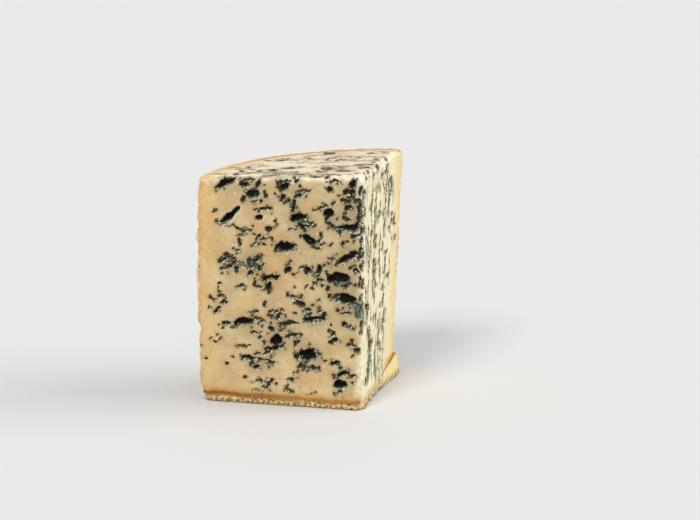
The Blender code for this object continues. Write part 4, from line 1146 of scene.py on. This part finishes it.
belowTop = ease(2.2, 4.0, under) * ~downwards
grainShare = np.maximum(wallCrust, 0.8 * ease(1.6, 0.6, toWall)) * ease(1.2, 0.7, sunk) * belowTop
addFloats(body.data, grainShare=grainShare, lumpShare=wallCrust * ease(0.9, 0.5, sunk) * belowTop * ease(2, 5, height) * ease(3, 7, np.minimum(inLeft, inRight)),
          glintShare=lipSide * ease(-0.4, -0.1, near) * ease(0.7, 0.3, near) * ease(0.0, 0.35, hills(points, 1.8, 44)) * paste,
          flakeShare=shares["left"] * ease(-0.8, -1.4, near) * ease(6, 9, height) * ease(-0.1, 0.3, hills(points, 9, 50)),
          tuftShare=ease(0.1, 0.4, near) * ease(-0.2, 0.2, hills(points, 2.4, 43)) * paste * ease(1.4, 0.5, depth))
grown = []
for name, kind in grainKinds.items():
    settings = {"Density": kind["perSquareCm"] * 1e4, "Smallest": kind["small"] * 0.001, "Largest": kind["large"] * 0.001,
                "Flatness": kind["flat"], "Stretch": kind["stretch"], "Seed": kind["seed"]}
    grown.append(growPiece(name, body, grainTree(name, kind), settings, kind["material"], 0.35 * kind["large"]))

# pale nodules of crust along the foot, all the way round
footLook = {
    "foot_nodules": {"spacing": 2.9, "length": 1.6, "depth": 0.95, "tall": 1.25, "height": 1.2, "inBy": 0.25, "vary": 0.42, "slide": 0.8, "kept": 0.93,
                     "wobble": 2.6, "seed": 4, "rings": 2},
    "foot_crumbs": {"spacing": 1.5, "length": 0.6, "depth": 0.5, "tall": 0.55, "height": 1.8, "inBy": 0.1, "kept": 0.5, "vary": 0.5, "slide": 1.3,
                    "wobble": 1.6, "seed": 9, "rings": 1},
}


def footPath(name, height, inBy):
    row = footRow(1.0 if height < 2 else 2.2)
    point, outward, _ = outlineRow(row[:, 2])
    row[:, :2] -= inBy * np.column_stack([outward.real, outward.imag])
    row[:, 2] = np.minimum(row[:, 2] / row[0, 2] * height, height + 0.5)
    path = bpy.data.meshes.new(name + "_path")
    count = len(row)
    path.from_pydata(((row + toPart) * 0.001).tolist(), [(i, (i + 1) % count) for i in range(count)], [])
    carrier = bpy.data.objects.new(name + "_path", path)
    scene.collection.objects.link(carrier)
    return carrier


def footTree(name, look, material):
    t = Tree(name, {"Spacing": "NodeSocketFloat", "Size": "NodeSocketVector", "Variation": "NodeSocketFloat",
                    "Slide": "NodeSocketVector", "Seed": "NodeSocketInt"})
    curve = t.node("GeometryNodeMeshToCurve", Mesh=t.inputs["Geometry"])
    even = t.node("GeometryNodeResampleCurve", {"mode": "LENGTH"}, Curve=curve.outputs[0], Length=t.inputs["Spacing"])
    along = t.node("GeometryNodeInputTangent")
    aim = t.node("FunctionNodeAlignRotationToVector", {"axis": "X", "pivot_axis": "Z"}, Vector=along.outputs[0])
    less = t.node("ShaderNodeMath", {"operation": "SUBTRACT"}, i0=1.0, i1=t.inputs["Variation"])
    more = t.node("ShaderNodeMath", {"operation": "ADD"}, i0=1.0, i1=t.inputs["Variation"])
    low = t.node("ShaderNodeCombineXYZ", X=less.outputs[0], Y=less.outputs[0], Z=less.outputs[0])
    high = t.node("ShaderNodeCombineXYZ", X=more.outputs[0], Y=more.outputs[0], Z=more.outputs[0])
    vary = t.node("FunctionNodeRandomValue", {"data_type": "FLOAT_VECTOR"}, i0=low.outputs[0], i1=high.outputs[0], Seed=t.inputs["Seed"])
    scale = t.node("ShaderNodeVectorMath", {"operation": "MULTIPLY"}, i0=t.inputs["Size"], i1=vary.outputs[0])
    kept = t.node("FunctionNodeRandomValue", {"data_type": "BOOLEAN"}, Probability=look["kept"], Seed=t.inputs["Seed"])
    placed = t.node("GeometryNodeInstanceOnPoints", Points=even.outputs[0], Instance=lumpNodes(t, look["rings"], look["wobble"]),
                    Selection=kept.outputs[3], Rotation=aim.outputs[0], Scale=scale.outputs[0])
    back = t.node("ShaderNodeVectorMath", {"operation": "SCALE"}, i0=t.inputs["Slide"], Scale=-1.0)
    slide = t.node("FunctionNodeRandomValue", {"data_type": "FLOAT_VECTOR"}, i0=back.outputs[0], i1=t.inputs["Slide"], Seed=t.inputs["Seed"])
    moved = t.node("GeometryNodeTranslateInstances", Instances=placed.outputs[0], Translation=slide.outputs[0])
    return t.close(moved.outputs[0], material)


for name, look in footLook.items():
    carrier = footPath(name, look["height"], look["inBy"])
    settings = {"Spacing": look["spacing"] * 0.001, "Size": [look[k] * 0.001 for k in ("length", "depth", "tall")],
                "Slide": [look["slide"] * k for k in (0.001, 0.0003, 0.0005)], "Variation": look["vary"], "Seed": look["seed"]}
    grown.append(growPiece(name, carrier, footTree(name, look, footShade), settings, footShade, 0.45))
    bpy.data.objects.remove(carrier)

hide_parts("cheese_wedge")
for piece in [body] + grown:
    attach(piece, "root")


# pale plain floor, soft daylight, camera
floorMesh = bpy.data.meshes.new("floor")
floorMesh.from_pydata([(-6, -6, 0), (6, -6, 0), (6, 6, 0), (-6, 6, 0)], [], [(0, 1, 2, 3)])
floorShade = Shader("floor_plain")
floorShade.finish(paint(222, 221, 220), 0.7, [])
floorMesh.materials.append(floorShade.material)
floor = bpy.data.objects.new("floor", floorMesh)
scene.collection.objects.link(floor)

scene.world = bpy.data.worlds.new("daylight")
scene.world.use_nodes = True
scene.world.node_tree.nodes["Background"].inputs["Color"].default_value = (0.95, 0.97, 1.0, 1)
scene.world.node_tree.nodes["Background"].inputs["Strength"].default_value = 0.6

lights = {      # where it comes from, strength, softness in degrees, colour
    "window": ((0.75, -0.42, 0.5), 1.55, 40, (1.0, 0.985, 0.96)),
    "room": ((-0.6, -0.42, 0.68), 1.55, 18, (1.0, 0.975, 0.94)),
}
for name, (way, strength, softness, colour) in lights.items():
    lamp = bpy.data.lights.new(name, "SUN")
    lamp.energy, lamp.angle, lamp.color = strength, math.radians(softness), colour
    light = bpy.data.objects.new(name, lamp)
    light.rotation_euler = Vector(way).to_track_quat("Z", "Y").to_euler()
    scene.collection.objects.link(light)

lens = bpy.data.cameras.new("camera")
lens.lens, lens.sensor_width = 174.1, 36
camera = bpy.data.objects.new("camera", lens)
camera.location = Vector((toPart + np.array([-885.3, -1493.3, 447.4])) * 0.001)
camera.rotation_euler = (math.radians(78.1), 0, math.radians(-30.465))
scene.collection.objects.link(camera)
scene.camera = camera
scene.view_settings.view_transform = "Standard"
print("stage, light and camera ready")
